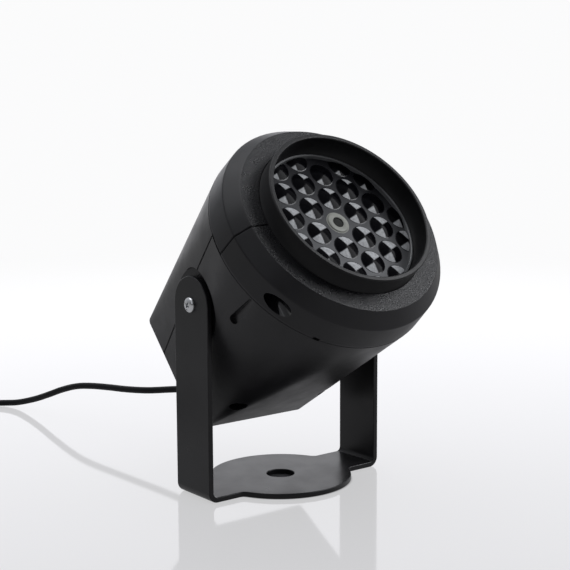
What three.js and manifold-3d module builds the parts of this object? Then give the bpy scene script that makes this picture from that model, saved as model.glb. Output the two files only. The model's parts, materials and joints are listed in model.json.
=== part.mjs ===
// Small projector light: a tilting lamp head in a U-shaped steel bracket, with its lead and plug.
// Millimetres. +Z is up, the light points towards -Y and upwards, and X runs along the tilt pivot.
// The origin is the centre of the underside of the object's box, without the lead.
import * as THREE from 'three';
import { ConvexGeometry } from 'three/addons/geometries/ConvexGeometry.js';
import { mergeVertices } from 'three/addons/utils/BufferGeometryUtils.js';
import Module from 'manifold-3d';

const wasm = await Module();
wasm.setup();

// ---------------------------------------------------------------- driving dimensions
const TILT = THREE.MathUtils.degToRad(41.9);  // lamp axis above the horizontal, at rest
const PIVOT_HEIGHT = 80;
const AXIS_DROP = 0.8;           // the lamp axis passes this far below the pivot

// bracket: one bent strip with a round foot
const STRIP = 2.2;               // sheet thickness
const ARM_WIDTH = 23.2;
const BRACKET_WIDTH = 90;        // across the outer faces of the arms
const FOOT_R = 30.2;
const FOOT_HOLE_R = 6;
const BEND_R = 2;                // inside radius of the two bends
const PIVOT_HOLE_R = 1.9;

// lamp head, as stations along its axis from the pivot, front positive, and radii about it
const REAR = -54;
const REAR_HALF = 28.9;          // half a side of the square rear face
const REAR_CORNER = 4;
const SEAM = 36.3;               // where the body meets the round front ring
const SEAM_R = 49.7;
const SHOULDER = 47.5;
const SHOULDER_R = 49.1;
const FACE = 53.4;               // front face of the ring
const FACE_R = 44.1;
const WALL = 2.4;
const HOOD_LIP = 61.7;
const HOOD_R = 36;
const HOOD_BORE_R = 33.9;
const FLANGE_R = 38.6;           // hood flange, clamped between the two shells
const FLANGE_FROM = 47.6;
const FLANGE_TO = 50;
const LENS_FACE = 52;
const LENS_R = 33.5;
const LENS_THICK = 2.5;
const LENSLET_PITCH = 12;
const LENSLET_R = 5.5;
const LENSLET_RISE = 1;
const LENSLET_TURN = THREE.MathUtils.degToRad(21);
const PARTING_STEP = 9;          // the shells part this far above the axis behind the seam
const GAP = 0.3;                 // between neighbours that touch on the real object
// long shallow recess on each side, its floor upright where the wall curves under
const RECESS = { x: 42.9, v: -20.3, s: 26, halfLong: 10, halfWide: 1.8, lean: 9, drop: 10.8 };

// pivot
const PAD_R = 15;                // flat round pad on each side of the body
const PAD_FACE = 41.3;
const PAD_THICK = 4.5;
const PAD_BACKING = 2.8;         // wall behind the pad
const PIVOT_BOSS_R = 6;
const PIVOT_BOSS_IN = 31;
const WASHER_R = 5.5;
const PIVOT_SCREW_R = 1.5;
const PIVOT_HEAD_R = 3.15;
const PIVOT_HEAD_RISE = 1.8;
const NUT_R = 3.2;               // across the corners, halved
const NUT_THICK = 2.3;

// shell screws, driven from below
const FRONT_SCREW = { x: 40, s: 41.8, seat: -8, tip: 7, pocketR: 3.6 };
const REAR_SCREW = { x: 23, s: -28.5, seat: -8, tip: 18, pocketR: 3.6 };
const SCREW_R = 1.45;
const SCREW_HEAD_R = 2.7;
const SCREW_HEAD_RISE = 2;
const SCREW_HOLE_R = 1.8;
const BOSS_R = 4.6;
const BEYOND = 60;               // past the head on any side

// light engine and drive
const SHELF_FROM = 9.5;
const SHELF_TO = 11.9;
const SHELF_BORE_R = 33;
const SINK_FROM = 12.2;
const SINK_TO = 15.2;
const SINK_R = 36;
const SINK_SCREW_V = 31.5;
const FIN_BACK = 3;
const FIN_REACH = 26;
const LED_BOARD_R = 28.3;
const BOARD_FROM = 15.5;
const BOARD_TO = 17.1;
const LED_CIRCLE_R = 20.5;
const LED_COUNT = 4;
const MOTOR_R = 11.5;
const MOTOR_FROM = 15.5;
const MOTOR_TO = 33;
const SHAFT_R = 1.5;
const WHEEL_R = 31;
const WHEEL_FROM = 40.5;
const WHEEL_TO = 42;
const HUB_R = 4.5;
const HUB_FROM = 37.5;
const HUB_TO = 43.5;
const DRIVER = { v: -12, thick: 1.6, halfX: 17, from: -45, to: -13 };

// lead: thin two-core low-voltage cord, about 1.5 m long in all
const CORD_D = 3.2;
const CORD_R = CORD_D / 2;
const GLAND_R = 3.6;
const GLAND_TIP_R = 2.3;
const GLAND_TIP = -64;
const COIL_X = -86;
const COIL_FAR_Y = 207;          // where the cord runs into the outer turn
const COIL_MID_R = 19.2;         // the turns' middle radius: twelve diameters across
const COIL_COLUMNS = 5;
const COIL_LAYERS = 2;
const TIE_THICK = 0.7;
const TIE_WIDTH = 5;
const TIE_TURN = 0.75 * Math.PI; // direction of the tie from the coil's centre
const PLUG = { halfX: 7.75, high: 8, long: 26, tongueX: 6, tongueHigh: 4.5, tongueLong: 12 };
const PLUG_SHEET = 0.4;          // wall of the plug's metal shell

// facets around a circle, by size
const FINE = 40;
const COARSE = 16;
const SMALL = 12;

// the object's box is centred on Y = 0
const FRONT_REACH = HOOD_LIP * Math.cos(TILT) + (HOOD_R + AXIS_DROP) * Math.sin(TILT);
const REAR_REACH = -REAR * Math.cos(TILT) + (REAR_HALF - AXIS_DROP) * Math.sin(TILT);
const PIVOT_Y = (FRONT_REACH - REAR_REACH) / 2;

// ---------------------------------------------------------------- materials
function material(color, roughness, metalness, opacity = 1) {
  return new THREE.MeshStandardMaterial({
    color, roughness, metalness, opacity, transparent: opacity < 1, flatShading: true,
  });
}
const blackPlastic = material(0x17171a, 0.45, 0);
const blackPaint = material(0x151518, 0.4, 0.2);
const steel = material(0xb8babd, 0.3, 1);
const aluminium = material(0xa9acb0, 0.4, 1);
const clearPlastic = material(0xdfe4e6, 0.1, 0, 0.4);
const whitePlastic = material(0xdcdcd6, 0.5, 0);
const blackRubber = material(0x101012, 0.7, 0);
const greenBoard = material(0x1d5b38, 0.5, 0);
const whiteBoard = material(0xe4e4e0, 0.5, 0);
const ledYellow = material(0xe0c24a, 0.4, 0);
const copper = material(0xa8623a, 0.4, 0.8);

// ---------------------------------------------------------------- geometry helpers
function positionsOnly(geometry) {
  const bare = new THREE.BufferGeometry();
  bare.setAttribute('position', geometry.getAttribute('position'));
  bare.setIndex(geometry.getIndex());
  return mergeVertices(bare, 1e-3);
}

// a closed geometry as a solid, with its faces turned outwards
function solidOf(geometry) {
  const merged = positionsOnly(geometry);
  const index = merged.getIndex().array;
  const at = merged.getAttribute('position');
  const corner = [new THREE.Vector3(), new THREE.Vector3(), new THREE.Vector3()];
  const triangles = [];
  let volume = 0;
  for (let i = 0; i < index.length; i += 3) {
    const [a, b, c] = [index[i], index[i + 1], index[i + 2]];
    if (a !== b && b !== c && c !== a) {
      triangles.push([a, b, c]);
      [a, b, c].forEach((k, n) => corner[n].fromBufferAttribute(at, k));
      volume += corner[0].dot(corner[1].clone().cross(corner[2]));
    }
  }
  const outward = volume < 0 ? triangles.map(([a, b, c]) => [a, c, b]) : triangles;
  return new wasm.Manifold(new wasm.Mesh({
    numProp: 3,
    vertProperties: new Float32Array(at.array),
    triVerts: new Uint32Array(outward.flat()),
  }));
}

function geometryOf(solid) {
  const mesh = solid.getMesh();
  const geometry = new THREE.BufferGeometry();
  geometry.setAttribute('position', new THREE.BufferAttribute(mesh.vertProperties, 3));
  geometry.setIndex(new THREE.BufferAttribute(mesh.triVerts, 1));
  geometry.computeVertexNormals();
  return geometry;
}

// a cylinder or cone between two places on an axis; `across` is its centre on the other two axes
function rod(axis, from, to, r0, r1, across = [0, 0], facets = COARSE) {
  const geometry = new THREE.CylinderGeometry(r1, r0, to - from, facets);
  geometry.translate(0, (from + to) / 2, 0);
  if (axis === 'x') geometry.rotateZ(-Math.PI / 2).translate(0, across[0], across[1]);
  if (axis === 'y') geometry.translate(across[0], 0, across[1]);
  if (axis === 'z') geometry.rotateX(Math.PI / 2).translate(across[0], across[1], 0);
  return solidOf(geometry);
}

// a body turned about Z from [radius, station] pairs; the outline closes on itself or on the axis
function turned(profile, facets = FINE) {
  const points = profile.map(([r, s]) => new THREE.Vector2(r, s));
  if (profile[0][0] > 0) points.push(points[0].clone());
  const geometry = new THREE.LatheGeometry(points, facets);
  return solidOf(geometry.rotateX(Math.PI / 2));
}

function box(x0, x1, y0, y1, z0, z1) {
  const geometry = new THREE.BoxGeometry(x1 - x0, y1 - y0, z1 - z0);
  return solidOf(geometry.translate((x0 + x1) / 2, (y0 + y1) / 2, (z0 + z1) / 2));
}

function prism(shape, depth, curveSegments = 6) {
  return new THREE.ExtrudeGeometry(shape, { depth, bevelEnabled: false, curveSegments });
}

function roundedRectangle(halfX, halfY, r) {
  const shape = new THREE.Shape();
  shape.absarc(halfX - r, halfY - r, r, 0, Math.PI / 2);
  shape.absarc(r - halfX, halfY - r, r, Math.PI / 2, Math.PI);
  shape.absarc(r - halfX, r - halfY, r, Math.PI, 1.5 * Math.PI);
  shape.absarc(halfX - r, r - halfY, r, 1.5 * Math.PI, 2 * Math.PI);
  shape.closePath();
  return shape;
}

function union(...solids) {
  return solids.reduce((sum, solid) => sum.add(solid));
}

// ---------------------------------------------------------------- scene graph
const group = new THREE.Group();
const head = new THREE.Group();          // lamp frame: X pivot, Y up across the axis, Z along it
head.position.set(0, PIVOT_Y, PIVOT_HEIGHT);
head.rotation.x = Math.PI / 2 - TILT;
const optics = new THREE.Group();        // the same frame, dropped onto the lamp axis
optics.position.y = -AXIS_DROP;
head.add(optics);
const stand = new THREE.Group();
stand.position.y = PIVOT_Y;
group.add(stand, head);

function place(parent, name, solid, look) {
  const mesh = new THREE.Mesh(geometryOf(solid), look);
  mesh.name = name;
  parent.add(mesh);
}

const SIDES = [['left', -1], ['right', 1]];

// ---------------------------------------------------------------- bracket and pivot hardware
// one arm and half of the base, in the XZ plane
function stripOutline() {
  const half = BRACKET_WIDTH / 2;
  const top = PIVOT_HEIGHT + ARM_WIDTH / 2;
  const outer = BEND_R + STRIP;
  const shape = new THREE.Shape();
  shape.moveTo(-half, top);
  shape.lineTo(-half, outer);
  shape.absarc(-half + outer, outer, outer, Math.PI, 1.5 * Math.PI, false);
  shape.lineTo(half - outer, 0);
  shape.absarc(half - outer, outer, outer, 1.5 * Math.PI, 2 * Math.PI, false);
  shape.lineTo(half, top);
  shape.lineTo(half - STRIP, top);
  shape.lineTo(half - STRIP, outer);
  shape.absarc(half - outer, outer, BEND_R, 2 * Math.PI, 1.5 * Math.PI, true);
  shape.lineTo(-half + outer, STRIP);
  shape.absarc(-half + outer, outer, BEND_R, 1.5 * Math.PI, Math.PI, true);
  shape.lineTo(-half + STRIP, top);
  shape.closePath();
  return shape;
}

// the strip seen from the side: straight, with a round top about the pivot
function armSilhouette() {
  const half = ARM_WIDTH / 2;
  const shape = new THREE.Shape();
  shape.moveTo(-half, -1);
  shape.lineTo(half, -1);
  shape.lineTo(half, PIVOT_HEIGHT);
  shape.absarc(0, PIVOT_HEIGHT, half, 0, Math.PI, false);
  shape.closePath();
  return shape;
}

function bracket() {
  const strip = prism(stripOutline(), ARM_WIDTH + 2);
  strip.rotateX(Math.PI / 2).translate(0, ARM_WIDTH / 2 + 1, 0);
  const silhouette = prism(armSilhouette(), BRACKET_WIDTH + 2, 12);
  silhouette.rotateX(Math.PI / 2).rotateZ(Math.PI / 2).translate(-BRACKET_WIDTH / 2 - 1, 0, 0);
  const foot = rod('z', 0, STRIP, FOOT_R, FOOT_R, [0, 0], FINE);
  const reach = BRACKET_WIDTH / 2 + 1;
  return union(solidOf(strip).intersect(solidOf(silhouette)), foot)
    .subtract(rod('z', -1, STRIP + 1, FOOT_HOLE_R, FOOT_HOLE_R, [0, 0], 24))
    .subtract(rod('x', -reach, reach, PIVOT_HOLE_R, PIVOT_HOLE_R, [0, PIVOT_HEIGHT]));
}
place(stand, 'bracket', bracket(), blackPaint);

// stations along the pivot for the right-hand side; the left is its mirror image
function alongPivot(side, from, to, r0, r1, facets = COARSE) {
  return side > 0 ? rod('x', from, to, r0, r1, [0, 0], facets)
    : rod('x', -to, -from, r1, r0, [0, 0], facets);
}

for (const [name, side] of SIDES) {
  const armFace = BRACKET_WIDTH / 2;
  const inner = armFace - STRIP;
  const shank = alongPivot(side, PIVOT_BOSS_IN - 0.6, armFace + 0.1, PIVOT_SCREW_R, PIVOT_SCREW_R);
  const crown = alongPivot(side, armFace + 0.1, armFace + PIVOT_HEAD_RISE, PIVOT_HEAD_R, 2.3);
  place(head, `pivot_screw_${name}`, union(shank, crown), steel);
  const washer = alongPivot(side, PAD_FACE + 0.2, inner - 0.2, WASHER_R, WASHER_R)
    .subtract(alongPivot(side, PAD_FACE, inner, PIVOT_HOLE_R, PIVOT_HOLE_R));
  place(head, `pivot_washer_${name}`, washer, whitePlastic);
  const nutEnd = PIVOT_BOSS_IN + NUT_THICK;
  const nut = alongPivot(side, PIVOT_BOSS_IN, nutEnd, NUT_R, NUT_R, 6)
    .subtract(alongPivot(side, PIVOT_BOSS_IN - 1, nutEnd + 1, PIVOT_HOLE_R, PIVOT_HOLE_R));
  place(head, `pivot_nut_${name}`, nut, steel);
}

// ---------------------------------------------------------------- shells
function circlePoints(r, s) {
  return Array.from({ length: FINE }, (_, i) => {
    const angle = (2 * Math.PI * i) / FINE;
    return new THREE.Vector3(r * Math.cos(angle), r * Math.sin(angle), s);
  });
}

function squarePoints(half, corner, s) {
  const points = [];
  for (let quarter = 0; quarter < 4; quarter += 1) {
    for (const part of [0, 0.5, 1]) {
      const angle = (quarter + part) * (Math.PI / 2);
      const mid = quarter * (Math.PI / 2) + Math.PI / 4;
      const inset = (half - corner) * Math.SQRT2;
      const x = inset * Math.cos(mid) + corner * Math.cos(angle);
      const y = inset * Math.sin(mid) + corner * Math.sin(angle);
      points.push(new THREE.Vector3(x, y, s));
    }
  }
  return points;
}

// square at the rear, growing into the round front ring: the hull of its edges
function outerForm() {
  return solidOf(new ConvexGeometry([
    ...squarePoints(REAR_HALF, REAR_CORNER, REAR),
    ...circlePoints(SEAM_R, SEAM),
    ...circlePoints(SHOULDER_R, SHOULDER),
    ...circlePoints(FACE_R, FACE),
  ]));
}

// inside of the walls, less the collar that holds the hood
function hollow() {
  const space = solidOf(new ConvexGeometry([
    ...squarePoints(REAR_HALF - WALL, REAR_CORNER - 1, REAR + WALL),
    ...circlePoints(SEAM_R - WALL, SEAM),
    ...circlePoints(SHOULDER_R - WALL, SHOULDER - 1),
    ...circlePoints(FACE_R - 1, FACE - WALL - 0.4),
  ]));
  const collarFrom = FLANGE_FROM - GAP - 2;
  const collar = turned([
    [HOOD_R - 2, collarFrom], [FLANGE_R + WALL, collarFrom],
    [FLANGE_R + WALL, FACE], [HOOD_R - 2, FACE],
  ]);
  return space.subtract(collar);
}

// round opening for the hood's barrel, with the groove for its flange
function hoodRoom() {
  const groove = turned([
    [HOOD_R - 1, FLANGE_FROM - GAP], [FLANGE_R + GAP, FLANGE_FROM - GAP],
    [FLANGE_R + GAP, FLANGE_TO + GAP], [HOOD_R - 1, FLANGE_TO + GAP],
  ]);
  return rod('z', FACE - 10, FACE + 1, HOOD_R + GAP, HOOD_R + GAP, [0, 0], FINE).add(groove);
}

// screw bosses standing across the axis, from the lower shell on into the upper one
function screwBosses() {
  const bosses = [];
  for (const [, side] of SIDES) {
    for (const screw of [FRONT_SCREW, REAR_SCREW]) {
      bosses.push(rod('y', -BEYOND, BEYOND, BOSS_R, BOSS_R, [side * screw.x, screw.s]));
    }
  }
  return union(...bosses);
}

function screwHoles() {
  const holes = [];
  for (const [, side] of SIDES) {
    for (const screw of [FRONT_SCREW, REAR_SCREW]) {
      const centre = [side * screw.x, screw.s];
      holes.push(rod('y', -BEYOND, screw.seat, screw.pocketR, screw.pocketR, centre, 24));
      holes.push(rod('y', screw.seat - 1, screw.tip + 1, SCREW_HOLE_R, SCREW_HOLE_R, centre, SMALL));
    }
  }
  return union(...holes);
}

// the pivot's place in the optics frame
function atPivot(solid) {
  return solid.translate([0, AXIS_DROP, 0]);
}

// round pads that the bracket's arms lie against
function pivotPads() {
  return union(...SIDES.map(([, side]) => (
    atPivot(alongPivot(side, PAD_FACE - PAD_THICK, PAD_FACE, PAD_R, PAD_R, FINE))
  )));
}

// behind each pad, a thicker wall and a boss for the screw and its nut
function pivotBosses() {
  return union(...SIDES.map(([, side]) => {
    const backing = PAD_FACE - PAD_BACKING;
    const plate = alongPivot(side, backing, PAD_FACE + 4, PAD_R + 2, PAD_R + 2, FINE);
    const boss = alongPivot(side, PIVOT_BOSS_IN, PAD_FACE, PIVOT_BOSS_R, PIVOT_BOSS_R);
    return atPivot(union(plate, boss));
  }));
}

function pivotCuts() {
  const cuts = [];
  for (const [, side] of SIDES) {
    const nutTop = PIVOT_BOSS_IN + NUT_THICK + GAP;
    const nutRoom = NUT_R + 2 * GAP;
    cuts.push(alongPivot(side, PAD_FACE, PAD_FACE + 20, PAD_R, PAD_R, FINE));
    cuts.push(alongPivot(side, PIVOT_BOSS_IN - 1, PAD_FACE + 1, PIVOT_HOLE_R, PIVOT_HOLE_R));
    cuts.push(alongPivot(side, PIVOT_BOSS_IN - 1, nutTop, nutRoom, nutRoom, 6));
  }
  return atPivot(union(...cuts));
}

// shelf that carries the heat sink, and the two bosses that it is screwed to
function sinkShelf() {
  const shelf = turned([
    [SHELF_BORE_R, SHELF_FROM], [BEYOND, SHELF_FROM], [BEYOND, SHELF_TO], [SHELF_BORE_R, SHELF_TO],
  ]);
  const bosses = [-1, 1].map((side) => (
    rod('z', SHELF_FROM - 6, SHELF_TO, 4, 4, [0, side * SINK_SCREW_V])
  ));
  return union(shelf, ...bosses);
}

function sinkScrewHoles() {
  return union(...[-1, 1].map((side) => (
    rod('z', SHELF_FROM - 4.5, SHELF_TO + 1, SCREW_HOLE_R, SCREW_HOLE_R, [0, side * SINK_SCREW_V], SMALL)
  )));
}

const DRIVER_POSTS = [DRIVER.from + 4, DRIVER.to - 4];

function driverPosts() {
  return union(...DRIVER_POSTS.map((s) => rod('y', -BEYOND, DRIVER.v - GAP, 3.4, 3.4, [0, s])));
}

function driverPostHoles() {
  return union(...DRIVER_POSTS.map((s) => (
    rod('y', DRIVER.v - 9, DRIVER.v, SCREW_HOLE_R, SCREW_HOLE_R, [0, s], SMALL)
  )));
}

// shallow recess along each side and a pry notch on the seam, below on the left
function surfaceMarks() {
  const { x, v, s, halfWide, halfLong, lean, drop } = RECESS;
  const slots = SIDES.map(([, side]) => {
    const [low, high] = side > 0 ? [0, 5] : [-5, 0];
    const slot = box(low, high, -halfWide, halfWide, -halfLong, halfLong);
    return slot.rotate([drop, side * lean, 0]).translate([side * x, v, s]);
  });
  const notch = box(-27.5, -24.5, -44, -41.5, SEAM - 0.6, SEAM + 0.8);
  return union(...slots, notch);
}

// everything below the parting surface: on the axis in the ring, stepped up behind the seam
function lowerSpace(shift) {
  const shape = new THREE.Shape();
  shape.moveTo(-90, -90);
  shape.lineTo(90, -90);
  shape.lineTo(90, shift);
  shape.lineTo(SEAM + shift, shift);
  shape.lineTo(SEAM + shift, PARTING_STEP + shift);
  shape.lineTo(-90, PARTING_STEP + shift);
  shape.closePath();
  const geometry = prism(shape, 160);
  return solidOf(geometry.rotateY(-Math.PI / 2).translate(80, 0, 0));
}

function shells() {
  const space = hollow()
    .subtract(union(screwBosses(), sinkShelf(), driverPosts(), pivotPads(), pivotBosses()));
  const glandHole = rod('z', REAR - 1, REAR + WALL + 1, GLAND_R, GLAND_R);
  const both = outerForm().add(pivotPads()).subtract(space)
    .subtract(union(hoodRoom(), screwHoles(), sinkScrewHoles(), driverPostHoles(), glandHole))
    .subtract(union(surfaceMarks(), pivotCuts()));
  return {
    lower: both.intersect(lowerSpace(-GAP / 2)),
    upper: both.subtract(lowerSpace(GAP / 2)),
  };
}
const { lower, upper } = shells();
place(optics, 'lower_shell', lower, blackPlastic);
place(optics, 'upper_shell', upper, blackPlastic);

for (const [name, side] of SIDES) {
  for (const [row, screw] of [['front', FRONT_SCREW], ['rear', REAR_SCREW]]) {
    const centre = [side * screw.x, screw.s];
    const crownTop = screw.seat - 0.1;
    const crown = rod('y', crownTop - SCREW_HEAD_RISE, crownTop, 2.1, SCREW_HEAD_R, centre, SMALL);
    const shank = rod('y', crownTop, screw.tip, SCREW_R, SCREW_R, centre, SMALL);
    place(optics, `shell_screw_${row}_${name}`, union(crown, shank), steel);
  }
}

// ---------------------------------------------------------------- hood, seals and lens plate
function hood() {
  const ledge = LENS_FACE - LENS_THICK - 1;
  return turned([
    [31, ledge - 2.4], [HOOD_R, ledge - 2.4], [HOOD_R, FLANGE_FROM], [FLANGE_R, FLANGE_FROM],
    [FLANGE_R, FLANGE_TO], [HOOD_R, FLANGE_TO], [HOOD_R, HOOD_LIP], [HOOD_BORE_R, HOOD_LIP],
    [HOOD_BORE_R, ledge], [31, ledge],
  ]);
}
place(optics, 'hood', hood(), blackPlastic);

const GASKET_TOP = LENS_FACE - LENS_THICK - 0.1;
place(optics, 'lens_gasket', turned([
  [31.4, GASKET_TOP - 0.8], [33.3, GASKET_TOP - 0.8], [33.3, GASKET_TOP], [31.4, GASKET_TOP],
], 24), blackRubber);

// lenslets on a triangular lattice; the middle place is the hub
function lensletCentres() {
  const centres = [];
  for (let i = -3; i <= 3; i += 1) {
    for (let j = -3; j <= 3; j += 1) {
      const x = (i + j / 2) * LENSLET_PITCH;
      const y = (j * Math.sqrt(3) * LENSLET_PITCH) / 2;
      const r = Math.hypot(x, y);
      if (r > 1 && r < LENS_R - 2) {
        const c = Math.cos(LENSLET_TURN);
        const s = Math.sin(LENSLET_TURN);
        centres.push([x * c - y * s, x * s + y * c]);
      }
    }
  }
  return centres;
}

function lensPlate() {
  const disc = rod('z', LENS_FACE - LENS_THICK, LENS_FACE, LENS_R, LENS_R, [0, 0], FINE);
  const inset = rod('z', LENS_FACE - 1, LENS_FACE + 3, LENS_R, LENS_R, [0, 0], FINE);
  const from = LENS_FACE - 0.5;
  const to = LENS_FACE + LENSLET_RISE;
  const lenslets = lensletCentres().map((centre) => (
    rod('z', from, to, LENSLET_R, LENSLET_R * 0.6, centre, 8).intersect(inset)
  ));
  const hub = rod('z', LENS_FACE - LENS_THICK - 2, LENS_FACE + 0.8, 4.6, 4.2);
  const bore = rod('z', LENS_FACE - LENS_THICK - 3, LENS_FACE - 1.5, SHAFT_R + GAP, SHAFT_R + GAP);
  return union(disc, hub, ...lenslets).subtract(bore);
}
place(optics, 'lens_plate', lensPlate(), clearPlastic);

// ---------------------------------------------------------------- turning wheel and its motor
function wheel() {
  const disc = rod('z', WHEEL_FROM, WHEEL_TO, WHEEL_R, WHEEL_R, [0, 0], FINE);
  const windows = Array.from({ length: 6 }, (_, i) => {
    const angle = (Math.PI * i) / 3;
    const centre = [20 * Math.cos(angle), 20 * Math.sin(angle)];
    return rod('z', WHEEL_TO - 0.8, WHEEL_TO + 1, 6, 8, centre, SMALL);
  });
  const hub = rod('z', HUB_FROM, HUB_TO, HUB_R, HUB_R);
  const bore = rod('z', HUB_FROM - 1, HUB_TO + 1, SHAFT_R + GAP, SHAFT_R + GAP);
  return disc.subtract(union(...windows)).add(hub).subtract(bore);
}
place(optics, 'pattern_wheel', wheel(), clearPlastic);
place(optics, 'motor_shaft', rod('z', MOTOR_TO - 2, LENS_FACE - 2, SHAFT_R, SHAFT_R, [0, 0], SMALL), steel);

function motor() {
  const can = rod('z', MOTOR_FROM, MOTOR_TO - 3, MOTOR_R, MOTOR_R, [0, 0], 24);
  const neck = rod('z', MOTOR_TO - 4, MOTOR_TO, 4, 4);
  const socket = rod('z', MOTOR_TO - 2.5, MOTOR_TO + 1, SHAFT_R + GAP, SHAFT_R + GAP);
  const screwHole = (side) => (
    rod('z', MOTOR_FROM - 1, MOTOR_FROM + 6, SCREW_HOLE_R, SCREW_HOLE_R, [side * 8, 0], SMALL)
  );
  return union(can, neck).subtract(union(socket, screwHole(-1), screwHole(1)));
}
place(optics, 'gear_motor', motor(), aluminium);

// ---------------------------------------------------------------- light engine
const FINS = [-22, -13, -4, 4, 13, 22];

function heatSink() {
  const plate = rod('z', SINK_FROM, SINK_TO, SINK_R, SINK_R, [0, 0], FINE);
  const fins = FINS.map((x) => {
    const reach = Math.min(FIN_REACH, Math.sqrt((SHELF_BORE_R - 1) ** 2 - x ** 2));
    return box(x - 0.7, x + 0.7, -reach, reach, FIN_BACK, SINK_FROM + 1);
  });
  const holes = [[0, SINK_SCREW_V], [0, -SINK_SCREW_V], [8, 0], [-8, 0]].map((centre) => (
    rod('z', SINK_FROM - 1, SINK_TO + 1, SCREW_HOLE_R, SCREW_HOLE_R, centre, SMALL)
  ));
  return union(plate, ...fins).subtract(union(...holes));
}
place(optics, 'heat_sink', heatSink(), aluminium);

[['top', 1], ['bottom', -1]].forEach(([name, side]) => {
  const centre = [0, side * SINK_SCREW_V];
  const shank = rod('z', SHELF_FROM - 3.5, SINK_TO + 0.1, SCREW_R, SCREW_R, centre, SMALL);
  const crown = rod('z', SINK_TO + 0.1, SINK_TO + 2, SCREW_HEAD_R, 2.1, centre, SMALL);
  place(optics, `heat_sink_screw_${name}`, union(shank, crown), steel);
});

for (const [name, side] of SIDES) {
  const centre = [side * 8, 0];
  const shank = rod('z', SINK_FROM - 0.1, MOTOR_FROM + 5, SCREW_R, SCREW_R, centre, SMALL);
  const crown = rod('z', SINK_FROM - 2, SINK_FROM - 0.1, 1.9, 2.4, centre, SMALL);
  place(optics, `motor_screw_${name}`, union(shank, crown), steel);
}

place(optics, 'led_board', turned([
  [MOTOR_R + 0.8, BOARD_FROM], [LED_BOARD_R, BOARD_FROM],
  [LED_BOARD_R, BOARD_TO], [MOTOR_R + 0.8, BOARD_TO],
], 24), whiteBoard);

function collimator(centre) {
  const from = BOARD_TO + 2.4;
  const points = [[0, from + 2], [3, from], [4.2, from], [7.6, from + 9], [7.6, from + 10], [0, from + 10]];
  return turned(points, COARSE).translate([...centre, 0]);
}

for (let i = 0; i < LED_COUNT; i += 1) {
  const angle = (Math.PI / 2) * i + Math.PI / 4;
  const centre = [LED_CIRCLE_R * Math.cos(angle), LED_CIRCLE_R * Math.sin(angle)];
  const die = box(-2.5, 2.5, -2.5, 2.5, BOARD_TO + 0.1, BOARD_TO + 1.6);
  place(optics, `led_${i + 1}`, die.translate([...centre, 0]), ledYellow);
  place(optics, `collimator_${i + 1}`, collimator(centre), clearPlastic);
}

// ---------------------------------------------------------------- driver board
const DRIVER_TOP = DRIVER.v + DRIVER.thick;

function driverBoard() {
  const plate = box(-DRIVER.halfX, DRIVER.halfX, DRIVER.v, DRIVER_TOP, DRIVER.from, DRIVER.to);
  const holes = DRIVER_POSTS.map((s) => (
    rod('y', DRIVER.v - 1, DRIVER_TOP + 1, SCREW_HOLE_R, SCREW_HOLE_R, [0, s], SMALL)
  ));
  return plate.subtract(union(...holes));
}
place(optics, 'driver_board', driverBoard(), greenBoard);

DRIVER_POSTS.forEach((s, i) => {
  const shank = rod('y', DRIVER.v - 8, DRIVER_TOP + 0.1, SCREW_R, SCREW_R, [0, s], SMALL);
  const crown = rod('y', DRIVER_TOP + 0.1, DRIVER_TOP + 1.9, 2.4, 1.9, [0, s], SMALL);
  place(optics, `driver_screw_${i + 1}`, union(shank, crown), steel);
});

const onBoard = DRIVER_TOP + 0.1;
place(optics, 'capacitor', rod('y', onBoard, onBoard + 9, 4, 4, [-9, -28]), aluminium);
place(optics, 'inductor', rod('y', onBoard, onBoard + 5.5, 4.5, 4.5, [9, -35]), copper);
place(optics, 'driver_chip', box(6, 12, onBoard, onBoard + 1.6, -25, -20), blackPlastic);
place(optics, 'supply_connector', box(-13, -5, onBoard, onBoard + 5, -43, -37), whitePlastic);
place(optics, 'motor_connector', box(-13, -6, onBoard, onBoard + 5, -20, -15), whitePlastic);

// ---------------------------------------------------------------- lead, coil, tie and plug
function gland() {
  const inside = REAR + WALL + GAP;
  return turned([
    [0, inside + 1.5], [4.8, inside + 1.5], [4.8, inside], [GLAND_R - GAP, inside],
    [GLAND_R - GAP, REAR - GAP], [4.4, REAR - GAP], [4.4, REAR - 1.6], [3.3, REAR - 2.2],
    [GLAND_TIP_R, GLAND_TIP], [0, GLAND_TIP],
  ], COARSE);
}
place(optics, 'cord_gland', gland(), blackRubber);

const COIL_RISE = TIE_THICK + GAP;
const COIL_OUTER_TURN_R = COIL_MID_R + ((COIL_COLUMNS - 1) / 2) * CORD_D;
const COIL_OUT_R = COIL_OUTER_TURN_R + CORD_R;
const COIL_IN_R = COIL_MID_R - (COIL_COLUMNS / 2) * CORD_D;
const COIL_Y = COIL_FAR_Y - COIL_OUTER_TURN_R;
const COIL_TOP = COIL_RISE + COIL_LAYERS * CORD_D;

// loose stretch: out of the gland, level through the air, down to the table and into the coil
const ROUTE = [
  [0, 53.6, 36.4], [-0.3, 58.5, 32.8], [-1.1, 66, 29.3], [-2.6, 75, 27], [-5.6, 85, 25.2],
  [-9.3, 96, 23.4], [-12.5, 109, 22], [-14.9, 122, 21], [-17.4, 134, 19.9], [-19.6, 145, 18.1],
  [-21.8, 156, 14.7], [-23.8, 165, 11.1], [-25.4, 174, 7.7], [-27.2, 183, 4.8], [-29.6, 191, 2.7],
  [-33.6, 198, 1.8], [-40, 203.2, 1.65], [-49, 206, 1.8], [-59, 206.9, 2.3], [-71, 207, 2.6],
];

// the far end leaves the upper layer's outer turn on its left and runs into the plug
const PLUG_X = COIL_X - COIL_OUTER_TURN_R;
const PLUG_END_Y = 150;
const TAIL = [
  [PLUG_X, 167.5, 5.8], [PLUG_X, 163, 5.3], [PLUG_X, 158.5, 4.6], [PLUG_X, 154, 4.1],
  [PLUG_X, PLUG_END_Y + GAP, 4],
];

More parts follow.
